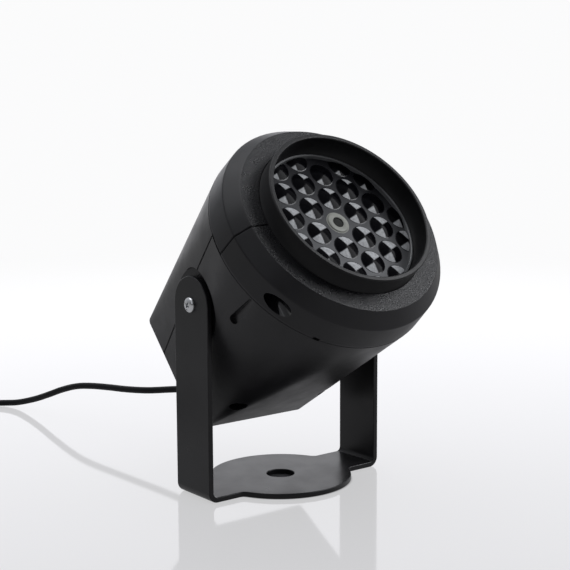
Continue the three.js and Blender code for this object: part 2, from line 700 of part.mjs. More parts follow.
function cordTube(points, steps) {
  const path = new THREE.CatmullRomCurve3(points.map((p) => new THREE.Vector3(...p)));
  const section = new THREE.Shape(Array.from({ length: 8 }, (_, i) => {
    const angle = (Math.PI / 4) * (i + 0.5);
    return new THREE.Vector2(CORD_R * Math.cos(angle), CORD_R * Math.sin(angle));
  }));
  return solidOf(new THREE.ExtrudeGeometry(section, { steps, extrudePath: path, bevelEnabled: false }));
}
place(group, 'cord', cordTube(ROUTE, 32), blackRubber);
place(group, 'cord_tail', cordTube(TAIL, 6), blackRubber);

place(group, 'cord_coil', turned([
  [COIL_IN_R, COIL_RISE], [COIL_OUT_R, COIL_RISE], [COIL_OUT_R, COIL_TOP], [COIL_IN_R, COIL_TOP],
], 32).translate([COIL_X, COIL_Y, 0]), blackRubber);

// flat tie around the turns, on the side away from the lamp
function cordTie() {
  const slack = 0.5;
  const halfX = (COIL_OUT_R - COIL_IN_R) / 2 + slack;
  const halfZ = (COIL_TOP - COIL_RISE) / 2 + GAP;
  const loop = roundedRectangle(halfX + TIE_THICK, halfZ + TIE_THICK, 1.2);
  loop.holes.push(roundedRectangle(halfX, halfZ, 0.6));
  const geometry = prism(loop, TIE_WIDTH, 3);
  geometry.translate(0, 0, -TIE_WIDTH / 2).rotateX(Math.PI / 2);
  geometry.translate(COIL_MID_R - 0.1, 0, halfZ + TIE_THICK).rotateZ(TIE_TURN);
  return solidOf(geometry.translate(COIL_X, COIL_Y, 0));
}
place(group, 'cord_tie', cordTie(), blackRubber);

function plugBody() {
  const grip = prism(roundedRectangle(PLUG.halfX, PLUG.high / 2, 1.8), PLUG.long, 4);
  grip.rotateX(Math.PI / 2).translate(PLUG_X, PLUG_END_Y, PLUG.high / 2);
  return solidOf(grip);
}
place(group, 'plug_body', plugBody(), blackPlastic);

function plugTongue() {
  const from = PLUG_END_Y - PLUG.long - 0.1;
  const mid = PLUG.high / 2;
  const half = PLUG.tongueHigh / 2;
  const shell = box(PLUG_X - PLUG.tongueX, PLUG_X + PLUG.tongueX, from - PLUG.tongueLong, from,
    mid - half, mid + half);
  const inside = PLUG.tongueX - PLUG_SHEET;
  const mouth = box(PLUG_X - inside, PLUG_X + inside,
    from - PLUG.tongueLong - 1, from - 1, mid - 0.1, mid + half - PLUG_SHEET);
  return shell.subtract(mouth);
}
place(group, 'plug_contacts', plugTongue(), steel);

export default group;
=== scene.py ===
import json
import math

import bmesh
import bpy
import numpy as np
from mathutils import Matrix, Vector


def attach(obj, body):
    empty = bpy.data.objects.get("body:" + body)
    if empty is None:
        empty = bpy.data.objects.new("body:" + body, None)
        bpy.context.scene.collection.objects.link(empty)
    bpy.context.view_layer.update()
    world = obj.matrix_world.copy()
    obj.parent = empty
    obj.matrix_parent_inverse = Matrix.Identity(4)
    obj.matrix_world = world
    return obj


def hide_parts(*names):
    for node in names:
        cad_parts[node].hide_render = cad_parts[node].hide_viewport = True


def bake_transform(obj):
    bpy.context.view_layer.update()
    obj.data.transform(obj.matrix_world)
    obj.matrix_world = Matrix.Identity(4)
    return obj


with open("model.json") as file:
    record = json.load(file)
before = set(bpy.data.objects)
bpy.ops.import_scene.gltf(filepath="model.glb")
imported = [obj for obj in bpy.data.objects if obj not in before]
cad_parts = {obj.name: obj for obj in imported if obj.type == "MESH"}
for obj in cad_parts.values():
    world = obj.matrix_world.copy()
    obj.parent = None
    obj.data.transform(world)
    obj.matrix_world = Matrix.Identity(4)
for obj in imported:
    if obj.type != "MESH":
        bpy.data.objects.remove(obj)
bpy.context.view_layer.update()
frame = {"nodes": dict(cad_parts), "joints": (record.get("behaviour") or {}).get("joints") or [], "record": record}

MM = 0.001
SCENE = bpy.context.scene

# ------ places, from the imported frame
JOINTS = {j["name"]: j for j in frame["joints"]}
PIVOT = Vector(JOINTS["head_tilt"]["pos_m"])
ALONG = Vector(JOINTS["wheel_spin"]["axis"]).normalized()  # the lamp's axis, forwards
ACROSS = Vector((1, 0, 0))  # the tilt pivot's direction
UPWARD = ALONG.cross(ACROSS)  # up, square to both
OPTICS_AT = Vector(JOINTS["wheel_spin"]["pos_m"])


def placed(at):
    """The lamp's own frame (pivot, up, along) in millimetres, as a matrix into the row frame."""
    turn = Matrix((ACROSS, UPWARD, ALONG)).transposed().to_4x4()
    return Matrix.Translation(at) @ turn @ Matrix.Scale(MM, 4)


OPTICS = placed(OPTICS_AT)
HEAD = placed(PIVOT)
TABLE = Matrix.Scale(MM, 4)
STAND = Matrix.Translation((0, PIVOT.y, 0)) @ TABLE
AXIS_DROP = (PIVOT - OPTICS_AT).dot(UPWARD) / MM

# ------ camera
CAMERA_TURN, CAMERA_RISE, CAMERA_ROLL = (math.radians(a) for a in (-37.886, 8.870, -0.264))
CAMERA_DISTANCE = 0.5905
LOOK_AT = Vector((0, PIVOT.y, 0.075))
LOOK_SHIFT = (0.00232, 0.00846)  # right and up of that point
CAMERA_LENS = 88.84


def make_camera():
    back = Vector((
        math.sin(CAMERA_TURN) * math.cos(CAMERA_RISE),
        -math.cos(CAMERA_TURN) * math.cos(CAMERA_RISE),
        math.sin(CAMERA_RISE),
    ))
    right = (-back).cross(Vector((0, 0, 1))).normalized()
    up = back.cross(right)
    aim = LOOK_AT + right * LOOK_SHIFT[0] + up * LOOK_SHIFT[1]
    c, s = math.cos(CAMERA_ROLL), math.sin(CAMERA_ROLL)
    axes = Matrix((right * c + up * s, up * c - right * s, back)).transposed()
    data = bpy.data.cameras.new("camera")
    data.sensor_width = 36
    data.lens = CAMERA_LENS
    data.clip_start, data.clip_end = 0.01, 50
    camera = bpy.data.objects.new("camera", data)
    camera.matrix_world = Matrix.Translation(aim + back * CAMERA_DISTANCE) @ axes.to_4x4()
    SCENE.collection.objects.link(camera)
    SCENE.camera = camera


make_camera()


# ------ mesh helpers
MERGE = 1e-4  # points this close are one, in millimetres
CREASE = 32  # edges sharper than this stay sharp, in degrees


def linked(name, mesh):
    made = bpy.data.objects.new(name, mesh)
    SCENE.collection.objects.link(made)
    return made


def raw(vertices, faces, name="work"):
    mesh = bpy.data.meshes.new(name)
    mesh.from_pydata([tuple(map(float, v)) for v in vertices], [], [tuple(f) for f in faces])
    mesh.validate()
    return linked(name, mesh)


def cleaned(obj):
    """Merges double points and turns every face outwards."""
    bm = bmesh.new()
    bm.from_mesh(obj.data)
    bmesh.ops.remove_doubles(bm, verts=bm.verts, dist=MERGE)
    bmesh.ops.dissolve_degenerate(bm, edges=bm.edges, dist=MERGE)
    bmesh.ops.recalc_face_normals(bm, faces=bm.faces)
    bm.to_mesh(obj.data)
    bm.free()
    return obj


def evaluated(obj):
    """Applies the modifiers."""
    depsgraph = bpy.context.evaluated_depsgraph_get()
    mesh = bpy.data.meshes.new_from_object(obj.evaluated_get(depsgraph))
    obj.modifiers.clear()
    old, obj.data = obj.data, mesh
    bpy.data.meshes.remove(old)
    return obj


def combine(base, operation, *tools):
    """Boolean of closed meshes; the tools are used up."""
    for tool in tools:
        step = base.modifiers.new("combine", "BOOLEAN")
        step.operation, step.solver, step.object = operation, "MANIFOLD", tool
    evaluated(base)
    for tool in tools:
        bpy.data.objects.remove(tool)
    return base


def cut(base, *tools):
    return combine(base, "DIFFERENCE", *tools)


def joined(base, *tools):
    return combine(base, "UNION", *tools)


def bevelled(obj, width, segments=3, angle=35):
    step = obj.modifiers.new("bevel", "BEVEL")
    step.width, step.segments = width, segments
    step.limit_method, step.angle_limit = "ANGLE", math.radians(angle)
    return evaluated(obj)


def grid_faces(rows, columns):
    """Quads between rows of points, the last column joined to the first."""
    faces = []
    for a in range(0, (rows - 1) * columns, columns):
        b = a + columns
        for c in range(columns):
            d = (c + 1) % columns
            faces.append((a + c, a + d, b + d, b + c))
    return faces


def loft(rows):
    """Closed body through rows of points, with a flat face at both ends."""
    columns = len(rows[0])
    points = [p for row in rows for p in row]
    ends = [tuple(range(columns)), tuple(range(len(points) - columns, len(points)))]
    return cleaned(raw(points, [*grid_faces(len(rows), columns), *ends]))


def lathe(profile, sides=96):
    """Closed body turned about the lamp's axis from (radius, station) pairs."""
    angles = np.linspace(0, 2 * math.pi, sides, endpoint=False)
    points = [(r * math.cos(a), r * math.sin(a), s) for r, s in [*profile, profile[0]] for a in angles]
    return cleaned(raw(points, grid_faces(len(profile) + 1, sides)))


def barrel(axis, start, end, radius, centre=(0, 0), sides=48):
    """Plain round tool or boss from start to end on an axis, for building with."""
    made = lathe([(0, start), (radius, start), (radius, end), (0, end)], sides)
    turn = {
        "x": ((0, 0, 1), (1, 0, 0), (0, 1, 0)),
        "y": ((1, 0, 0), (0, 0, 1), (0, -1, 0)),
        "z": ((1, 0, 0), (0, 1, 0), (0, 0, 1)),
    }[axis]
    shift = {"x": (0, *centre), "y": (centre[0], 0, centre[1]), "z": (*centre, 0)}[axis]
    made.data.transform(Matrix.Translation(shift) @ Matrix(turn).to_4x4())
    return made


def block(x, y, z):
    points = [(a, b, c) for a in x for b in y for c in z]
    faces = [(0, 1, 3, 2), (4, 6, 7, 5), (0, 4, 5, 1), (2, 3, 7, 6), (0, 2, 6, 4), (1, 5, 7, 3)]
    return raw(points, faces)


def extruded(outline, start, end):
    """Prism of an (x, y) outline between two heights."""
    n = len(outline)
    points = [(x, y, z) for z in (start, end) for x, y in outline]
    sides = [(i, (i + 1) % n, (i + 1) % n + n, i + n) for i in range(n)]
    return cleaned(raw(points, [tuple(range(n))[::-1], tuple(range(n, 2 * n)), *sides]))


def arc(centre, radius, start, end, steps):
    """Points on a circle between two angles in degrees."""
    return [
        (centre[0] + radius * math.cos(a), centre[1] + radius * math.sin(a))
        for a in np.radians(np.linspace(start, end, steps + 1))
    ]


def creased(obj, angle=CREASE):
    obj.data.shade_smooth()
    obj.data.set_sharp_from_angle(angle=math.radians(angle))


def even_normals(obj):
    """Large faces keep their own direction, and small ones between them turn."""
    creased(obj)
    step = obj.modifiers.new("normals", "WEIGHTED_NORMAL")
    step.weight, step.keep_sharp = 90, True
    return evaluated(obj)


def finished(obj, name, place, body, slot, replaced=(), looks=None, crease=CREASE):
    """Names a built piece, puts it in the row frame, gives it its body and finish, and hides the CAD nodes it
    replaces.
    """
    obj.name = obj.data.name = name
    obj.data.transform(place)
    creased(obj, crease)
    obj.data.materials.clear()
    for look in looks or [slot]:
        obj.data.materials.append(LOOKS[look])
    if body:
        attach(obj, body)
    if replaced:
        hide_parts(*replaced)
    return obj


# ------ materials
LOOKS = {}  # every material by its name; most are named after their slot


def add_node(tree, kind, links=None, **settings):
    """A shader node with its settings, each of the given sockets linked or given a value."""
    made = tree.nodes.new(kind)
    for key, value in settings.items():
        setattr(made, key, value)
    for socket, value in (links or {}).items():
        target = made.inputs[socket]
        if isinstance(value, bpy.types.NodeSocket):
            tree.links.new(value, target)
        else:
            target.default_value = value
    return made


class Look:
    """A material in the making: one principled shader, and short calls for the nodes that feed it."""

    def __init__(self, name, colour, roughness, metallic=0.0, specular=0.5):
        self.material = LOOKS[name] = bpy.data.materials.new(name)
        self.material.use_nodes = True
        self.tree = self.material.node_tree
        self.shader = self.tree.nodes["Principled BSDF"]
        for socket, value in (
            ("Base Color", (*colour, 1)), ("Roughness", roughness), ("Metallic", metallic),
            ("Specular IOR Level", specular),
        ):
            self.shader.inputs[socket].default_value = value
        self.place = self.node("ShaderNodeTexCoord").outputs["Object"]
        self.painted = self.rough = self.normal = None

    def node(self, kind, links=None, **settings):
        return add_node(self.tree, kind, links, **settings)

    def maths(self, operation, first, second):
        return self.node("ShaderNodeMath", {0: first, 1: second}, operation=operation).outputs[0]

    def vector(self, operation, first, second=(0, 0, 0)):
        """The outputs "Vector" and "Value" of one step of vector maths."""
        return self.node("ShaderNodeVectorMath", {0: first, 1: second}, operation=operation).outputs

    def noise(self, size, detail=2.0, roughness=0.5, stretch=None):
        """Noise whose features are about size metres wide."""
        place = self.place
        if stretch:
            place = self.node("ShaderNodeMapping", {"Vector": place, "Scale": stretch}).outputs[0]
        return self.node("ShaderNodeTexNoise", {
            "Vector": place, "Scale": 1 / size, "Detail": detail, "Roughness": roughness,
        }).outputs[0]

    def mapped(self, value, low, high, to_low, to_high, curve="LINEAR"):
        return self.node("ShaderNodeMapRange", {
            "Value": value, "From Min": low, "From Max": high, "To Min": to_low, "To Max": to_high,
        }, interpolation_type=curve).outputs[0]

    def clouded(self, size, detail, roughness, stretch=None, to=(0, 1)):
        """Noise, its middle part spread over a range."""
        return self.mapped(self.noise(size, detail, roughness, stretch), 0.3, 0.7, *to)

    def mixed(self, share, first, second):
        """From the first colour to the second; sockets 6 and 7 and output 2 are the node's colours."""
        links = {"Factor": share}
        for at, colour in ((6, first), (7, second)):
            links[at] = colour if isinstance(colour, bpy.types.NodeSocket) else (*colour, 1)
        return self.node("ShaderNodeMix", links, data_type="RGBA").outputs[2]

    def soft_normal(self, radius):
        return self.node("ShaderNodeBevel", {"Radius": radius}, samples=4).outputs[0]

    def rounded(self, radius):
        """Light catches the edges as if they were rounded this much."""
        self.normal = self.soft_normal(radius)
        return self

    def bump(self, height, distance, strength=1.0):
        links = {"Height": height, "Distance": distance, "Strength": strength}
        if self.normal:
            links["Normal"] = self.normal
        self.normal = self.node("ShaderNodeBump", links).outputs[0]
        return self

    def vary(self, size, colours, roughness, stretch=None):
        """Colour and roughness drift with noise of this size."""
        self.painted = self.mixed(self.clouded(size, 4.0, 0.55, stretch), *colours)
        self.rough = self.clouded(size * 0.6, 3.0, 0.6, stretch, roughness)
        return self

    def worn(self, radius, colour, amount):
        """The paint or skin is rubbed lighter along its edges, in patches."""
        flat = self.node("ShaderNodeNewGeometry").outputs["Normal"]
        turn = self.vector("DOT_PRODUCT", self.soft_normal(radius), flat)["Value"]
        edge = self.mapped(turn, 0.995, 0.86, 0, 1)
        patch = self.mapped(self.noise(0.004, 3.0), 0.42, 0.7, 0, amount)
        self.painted = self.mixed(self.maths("MULTIPLY", edge, patch), self.painted, colour)
        return self

    def done(self):
        for socket, value in (
            ("Base Color", self.painted), ("Roughness", self.rough), ("Normal", self.normal),
        ):
            if value:
                self.tree.links.new(value, self.shader.inputs[socket])


def shades(colour, *shares):
    """Darker and lighter versions of a colour."""
    return [[min(1, c * share) for c in colour] for share in shares]


def moulded(name, colour, roughness, grain, depth, specular=0.5):
    """Black injection-moulded plastic: fine skin, faint flow marks, edges polished by handling."""
    look = Look(name, colour, roughness, specular=specular).rounded(0.00025)
    look.vary(0.018, shades(colour, 0.75, 1.35), (roughness * 0.9, roughness * 1.12))
    look.bump(look.noise(grain, 3.0, 0.6), depth, 0.7)
    look.bump(look.noise(0.012, 1.0), 0.00006, 0.35)
    look.worn(0.0004, shades(colour, 3.2)[0], 0.6).done()


def grained(name):
    """Coarse spark-eroded grain, with sharp little peaks."""
    look = Look(name, (0.005, 0.005, 0.006), 0.32, specular=0.33).rounded(0.0002)
    look.vary(0.010, ((0.004, 0.004, 0.005), (0.009, 0.009, 0.010)), (0.23, 0.36))
    peaks = look.node("ShaderNodeTexVoronoi", {"Vector": look.place, "Scale": 1 / 0.0006}).outputs[0]
    look.bump(peaks, 0.00016, 0.55)
    look.bump(look.noise(0.00050, 4.0, 0.65), 0.00028, 0.85).done()


def powder_paint(name, colour):
    """Satin powder coat on sheet steel: slight orange peel, rubbed through to grey at the edges."""
    look = Look(name, colour, 0.30, specular=0.3).rounded(0.0003)
    look.vary(0.022, shades(colour, 0.8, 1.3), (0.27, 0.34))
    look.bump(look.noise(0.0011, 2.0), 0.00003, 0.5)
    look.bump(look.noise(0.00025, 2.0), 0.000008, 0.5)
    look.worn(0.0005, (0.10, 0.10, 0.105), 0.55).done()


def bright_metal(name, colour, roughness, grain=0.0006, stretch=None):
    look = Look(name, colour, roughness, 1.0).rounded(0.00012)
    look.vary(0.002, shades(colour, 0.86, 1), (roughness * 0.75, roughness * 1.3), stretch)
    look.bump(look.noise(grain, 3.0, 0.5, stretch), 0.00001, 0.6).done()


def rubber(name, colour, roughness, grain, specular=0.4):
    look = Look(name, colour, roughness, specular=specular)
    look.vary(0.006, shades(colour, 0.8, 1.4), (roughness * 0.85, roughness * 1.15))
    look.bump(look.noise(grain, 3.0), 0.00002, 0.5)
    look.bump(look.noise(0.004, 1.0), 0.00008, 0.3).done()


def pale(name, colour, roughness):
    look = Look(name, colour, roughness)
    look.vary(0.004, shades(colour, 0.88, 1), (roughness * 0.85, roughness * 1.2))
    look.bump(look.noise(0.0004, 2.0), 0.00001, 0.5).done()


def acrylic(name, colour, roughness, frost, specular=0.25):
    """Clear moulded acrylic: what lies behind it gives the colour, the skin gives the gloss."""
    look = Look(name, colour, roughness, specular=specular)
    look.vary(0.005, shades(colour, 0.8, 1.12), (roughness * 0.8, roughness * 1.25))
    if frost:
        look.bump(look.noise(0.00035, 3.0), 0.00003, frost)
    look.done()


def lenslet_painted_light(name):
    """A lenslet, its light and shade painted: painted shade where it looks into the dark lamp, painted light in
    the two pale wedges that stand for the light it gathers.
    """
    look = Look(name, (0.004, 0.004, 0.005), 0.12, specular=0.025)
    marks = look.node("ShaderNodeAttribute", attribute_name="wedges")
    sides = look.node("ShaderNodeSeparateColor", {"Color": marks.outputs["Color"]}).outputs
    upper = look.maths("MINIMUM", sides[0], sides[1])
    lower = look.maths("MINIMUM", sides[2], marks.outputs["Alpha"])
    share = look.mapped(look.maths("MAXIMUM", upper, lower), -0.22, 0.26, 0, 1)
    cloud = look.clouded(0.0011, 3.0, 0.6)
    painted_light_part = look.mixed(cloud, (0.26, 0.265, 0.27), (0.44, 0.45, 0.46))
    painted_shade_part = look.mixed(cloud, (0.001, 0.001, 0.0015), (0.003, 0.003, 0.004))
    # painted light in the wedges, painted shade elsewhere on the dome
    look.painted = look.mixed(share, painted_shade_part, painted_light_part)
    look.bump(look.noise(0.0005, 2.0), 0.00002, 0.3).done()


def web_painted_shade(name):
    """The flat web between the lenslets, with painted shade: darker towards the top, standing for the darker part
    of the lamp it looks into there.
    """
    look = Look(name, (0.05, 0.051, 0.053), 0.5, specular=0.1)
    from_middle = look.vector("SUBTRACT", look.place, OPTICS_AT)["Vector"]
    height = look.vector("DOT_PRODUCT", from_middle, UPWARD + ACROSS * 0.3)["Value"]
    share = look.mapped(height, -0.026, 0.024, 0, 1)
    # painted shade: pale near the bottom of the plate, dark towards the top
    look.painted = look.mixed(share, (0.125, 0.128, 0.132), (0.008, 0.008, 0.010))
    look.bump(look.noise(0.00035, 3.0), 0.00003, 0.6).done()


moulded("shell_plastic", (0.0060, 0.0058, 0.0070), 0.38, 0.00035, 0.000004, 0.35)
moulded("shell_plastic_bore", (0.0065, 0.0063, 0.0075), 0.13, 0.0009, 0.000002, 0.8)
grained("shell_plastic_grained")
moulded("hood_plastic", (0.0030, 0.0030, 0.0034), 0.42, 0.00030, 0.000003, 0.25)
moulded("plug_plastic", (0.0060, 0.0060, 0.0066), 0.40, 0.00025, 0.000008)
powder_paint("painted_steel", (0.0062, 0.0060, 0.0068))
bright_metal("screw_steel", (0.70, 0.71, 0.72), 0.22)
bright_metal("bare_aluminium", (0.66, 0.67, 0.69), 0.34, 0.0003, (1, 1, 8))
bright_metal("copper_winding", (0.72, 0.34, 0.18), 0.3, 0.0004, (1, 12, 12))
rubber("cord_jacket", (0.006, 0.006, 0.007), 0.45, 0.0005, 0.15)
rubber("seal_rubber", (0.007, 0.007, 0.008), 0.45, 0.0003)
pale("white_nylon", (0.74, 0.73, 0.69), 0.45)
pale("board_green", (0.02, 0.13, 0.05), 0.3)
pale("board_white", (0.74, 0.74, 0.71), 0.35)
pale("led_phosphor", (0.80, 0.62, 0.10), 0.4)
web_painted_shade("clear_acrylic_web")
lenslet_painted_light("clear_acrylic_lenslet")
# painted shade: each lenslet's edge ring is near-black, for the dark inside of the lamp seen through it
acrylic("clear_acrylic_deep", (0.010, 0.010, 0.012), 0.25, 0)
acrylic("clear_acrylic_hub", (0.24, 0.245, 0.22), 0.5, 0.4)
# painted shade: the shallow well in the hub is near-black, for the dark hole it stands for
acrylic("clear_acrylic_well", (0.010, 0.011, 0.009), 0.5, 0.5, 0.1)
# painted highlight: the rim is coloured lighter to stand for the bright arc along the plate's edge
acrylic("clear_acrylic_rim", (0.13, 0.133, 0.137), 0.15, 0.2, 0.6)
acrylic("wheel_acrylic", (0.55, 0.58, 0.60), 0.15, 0.3, 0.6)
LOOKS["clear_acrylic"] = LOOKS["wheel_acrylic"]

for part in frame["record"]["subparts"]:
    node = frame["nodes"][part["node"]]
    node.data.materials.clear()
    node.data.materials.append(LOOKS[part["material_slot"]])

# ------ cord
CORD_D = 3.2
ROUTE = [
    (0, 53.6, 36.4), (-0.3, 58.5, 32.8), (-1.1, 66, 29.3), (-2.6, 75, 27), (-5.6, 85, 25.2),
    (-9.3, 96, 23.4), (-12.5, 109, 22), (-14.9, 122, 21), (-17.4, 134, 19.9), (-19.6, 145, 18.1),
    (-21.8, 156, 14.7), (-23.8, 165, 11.1), (-25.4, 174, 7.7), (-27.2, 183, 4.8), (-29.6, 191, 2.7),
    (-33.6, 198, 1.8), (-40, 203.2, 1.65), (-49, 206, 1.8), (-59, 206.9, 2.3), (-71, 207, 2.6),
]
COIL_AT = (-86, 181.4)
COIL_MID_R = 19.2
COIL_COLUMNS = 5
COIL_LOW = 1.0 + CORD_D / 2  # the middle of the lower layer
PLUG_X = COIL_AT[0] - COIL_MID_R - 2 * CORD_D
TAIL = [(PLUG_X, y, z) for y, z in ((167.5, 5.8), (163, 5.3), (158.5, 4.6), (154, 4.1), (150.3, 4))]
STEP_OVER = 0.2  # share of a turn in which the line moves to the next place
THIN = 0.97  # share of the diameter, so that the lead stays within the solid


def smooth(t):
    return t * t * (3 - 2 * t)


def coil_points():
    """Five turns inwards on the table and five back out on top, from the far side to the left."""
    outer = COIL_MID_R + (COIL_COLUMNS - 1) / 2 * CORD_D
    points = []
    steps = 40
    total = 2 * COIL_COLUMNS + 0.25
    for i in range(int(total * steps) + 1):
        turn = i / steps
        on_top = turn > COIL_COLUMNS
        whole, part = divmod(turn - COIL_COLUMNS * on_top, 1)
        step = max(0.0, part - (1 - STEP_OVER)) / STEP_OVER
        if on_top:
            column = max(COIL_COLUMNS - 1 - whole - step, 0)
            level = 1.0
        else:
            column = min(whole + step, COIL_COLUMNS - 1)
            level = max(0.0, turn - (COIL_COLUMNS - STEP_OVER)) / STEP_OVER
        column, level = (math.floor(v) + smooth(v - math.floor(v)) for v in (column, level))
        angle = math.pi / 2 + 2 * math.pi * turn
        r = outer - column * CORD_D
        x, y = COIL_AT[0] + r * math.cos(angle), COIL_AT[1] + r * math.sin(angle)
        points.append((x, y, COIL_LOW + level * CORD_D))
    return points


def spline(points, spacing):
    """Evenly spaced points on a Catmull-Rom curve through the given ones."""
    p = np.array(points, float)
    p = np.vstack([2 * p[0] - p[1], p, 2 * p[-1] - p[-2]])
    dense = []
    for a, b, c, d in zip(p, p[1:], p[2:], p[3:]):
        for t in np.linspace(0, 1, 12, endpoint=False):
            dense.append(0.5 * (
                2 * b + (c - a) * t + (2 * a - 5 * b + 4 * c - d) * t ** 2
                + (3 * b - a - 3 * c + d) * t ** 3
            ))
    dense = np.array([*dense, p[-2]])
    at = np.concatenate([[0], np.cumsum(np.linalg.norm(np.diff(dense, axis=0), axis=1))])
    even = np.linspace(0, at[-1], max(2, round(at[-1] / spacing)))
    return np.stack([np.interp(even, at, dense[:, k]) for k in range(3)], axis=1)


def tube(points, radius, sides):
    """Closed tube round a line of points, its section carried along without twist."""
    forward = np.gradient(points, axis=0)
    forward /= np.linalg.norm(forward, axis=1)[:, None]
    side = np.cross(forward[0], (0, 0, 1))
    rings = []
    for point, ahead in zip(points, forward):
        side = side - ahead * (side @ ahead)
        side /= np.linalg.norm(side)
        other = np.cross(ahead, side)
        rings.append([
            point + radius * (math.cos(a) * side + math.sin(a) * other)
            for a in np.linspace(0, 2 * math.pi, sides, endpoint=False)
        ])
    return loft(rings)


def make_cord():
    line = spline([*ROUTE, *coil_points()[2:], *TAIL], 2.2)
    made = finished(
        tube(line, CORD_D / 2 * THIN, 14), "lead", TABLE, None, "cord_jacket",
        ("cord", "cord_tail", "cord_coil"), crease=50,
    )
    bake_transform(made)
    return made, line * MM


# ------ bracket
STRIP, ARM_HALF, FOOT_R, FOOT_HOLE_R = 2.2, 11.6, 30.2, 6.0
ARM_AT, PIVOT_UP, PIVOT_HOLE_R, BEND_AT, BEND_MID_R = 43.9, 80.0, 1.9, 40.8, 3.1


def make_bracket():
    """The middle surface of the bent strip, given its thickness and small rounded edges."""
    bm = bmesh.new()
    known = {}

    def vertex(p):
        key = tuple(round(v, 4) for v in p)
        if key not in known:
            known[key] = bm.verts.new(p)
        return known[key]

    def face(points):
        corners = [vertex(p) for p in points]
        kept = [v for i, v in enumerate(corners) if v is not corners[i - 1]]
        bm.faces.new(kept)

    fillet = 3.0
    fillet_x = math.sqrt((FOOT_R + fillet) ** 2 - (ARM_HALF + fillet) ** 2)
    meet = math.degrees(math.atan2(ARM_HALF + fillet, fillet_x))
    right = [(BEND_AT, 0), (BEND_AT, ARM_HALF)]
    right += arc((fillet_x, ARM_HALF + fillet), fillet, -90, meet - 180, 6)
    right += arc((0, 0), FOOT_R, meet, 90, 20)[1:]
    left = [(-x, y) for x, y in right[::-1]][1:]
    half = right + left + arc((0, 0), FOOT_HOLE_R, 180, 0, 20)
    for side in (1, -1):
        face([(x, side * y, STRIP / 2) for x, y in half])
    arm = [(0, BEND_MID_R + STRIP / 2), (ARM_HALF, BEND_MID_R + STRIP / 2)]
    arm += arc((0, PIVOT_UP), ARM_HALF, 0, 90, 16)
    arm += arc((0, PIVOT_UP), PIVOT_HOLE_R, 90, -90, 12)
    bend = [(x, z + BEND_MID_R + STRIP / 2) for x, z in arc((BEND_AT, 0), BEND_MID_R, -90, 0, 8)]
    for end in (1, -1):
        for side in (1, -1):
            face([(end * ARM_AT, side * y, z) for y, z in arm])
            for (x0, z0), (x1, z1) in zip(bend, bend[1:]):
                face([
                    (end * x0, 0, z0), (end * x0, side * ARM_HALF, z0),
                    (end * x1, side * ARM_HALF, z1), (end * x1, 0, z1),
                ])
    bmesh.ops.recalc_face_normals(bm, faces=bm.faces)
    mesh = bpy.data.meshes.new("bracket")
    bm.to_mesh(mesh)
    bm.free()
    made = linked("bracket", mesh)
    thick = made.modifiers.new("thick", "SOLIDIFY")
    thick.thickness, thick.offset, thick.use_even_offset = STRIP, 0, True
    evaluated(made)
    cleaned(made)
    bevelled(made, 0.35)
    finished(even_normals(made), "bracket_painted", STAND, "stand", "painted_steel", ("bracket",))


# ------ lamp shells
REAR, REAR_HALF, REAR_CORNER, REAR_EDGE_R = -54.0, 28.9, 4.0, 1.2
SEAM, SEAM_R, SHOULDER, SHOULDER_R, FACE, FACE_R = 36.3, 49.7, 47.5, 49.1, 53.4, 44.1
WALL, GAP, HOOD_LIP, HOOD_R, HOOD_BORE_R = 2.4, 0.3, 61.7, 36.0, 33.9
FLANGE_R, FLANGE_FROM, FLANGE_TO = 38.6, 47.6, 50.0
PAD_R, PAD_FACE, PIVOT_BOSS_R, PIVOT_BOSS_IN, NUT_R, NUT_THICK = 15.0, 41.3, 6.0, 31.0, 3.2, 2.3
PARTING_STEP = 9.0
SEAM_DEEP, PARTING_DEEP, PARTING_HALF = 0.24, 0.3, 0.42  # grooves where the mould parts meet
SHELL_SCREWS = {  # x, station, seat, tip, pocket radius
    "front": (40.0, 41.8, -8.0, 7.0, 3.6), "rear": (23.0, -28.5, -8.0, 18.0, 3.6),
}
RECESS_AT = (42.9, -20.3, 26.0)
RECESS_HALF_LONG, RECESS_HALF_WIDE, RECESS_LEAN, RECESS_DROP = 10.0, 1.8, 9.0, 10.8
NOTCH_ACROSS_UP = (-27.5, -24.5), (-44, -41.5)  # the small notch under the seam
SCREW_HOLE_R, SCREW_BOSS_R = 1.8, 4.6
SHELF_BORE_R, SHELF_FROM, SHELF_TO, SINK_SCREW_V = 33.0, 9.5, 11.9, 31.5
DRIVER_V, DRIVER_POSTS = -12.0, (-41.0, -17.0)
GLAND_R = 3.6
QUARTER, EDGE = 24, 6


def section_columns():
    """Directions round the head, each with the corner it belongs to or its place on a straight side."""
    corners = [(1, 1), (-1, 1), (-1, -1), (1, -1)]
    for q, corner in enumerate(corners):
        following = corners[(q + 1) % 4]
        for k in range(QUARTER):
            yield math.radians((q + k / QUARTER) * 90), Vector(corner)
        for k in range(EDGE):
            yield math.radians((q + 1) * 90), Vector(corner).lerp(Vector(following), k / EDGE)


def section(s, share, inset=0.0, half=REAR_HALF, corner=REAR_CORNER, radius=SEAM_R):
    """Outline across the body: square at share 0, round at share 1, drawn in by inset."""
    points = []
    for angle, sign in section_columns():
        outwards = Vector((math.cos(angle), math.sin(angle)))
        square = sign * (half - corner) + outwards * corner
        p = square.lerp(outwards * radius, share) - outwards * inset
        points.append((p.x, p.y, s))
    return points


def rounded_corner(a, b, c, radius):
    """Points of a small arc that replaces corner b of a profile."""
    a, b, c = Vector(a), Vector(b), Vector(c)
    first, last = (a - b).normalized(), (c - b).normalized()
    angle = first.angle(last)
    reach = radius / math.tan(angle / 2)
    start, end = b + first * reach, b + last * reach
    centre = b + (first + last).normalized() * (radius / math.sin(angle / 2))
    points = []
    for t in (0, 0.25, 0.5, 0.75, 1):
        toward = (start.lerp(end, t) - centre).normalized()
        points.append(tuple(centre + toward * radius))
    return points


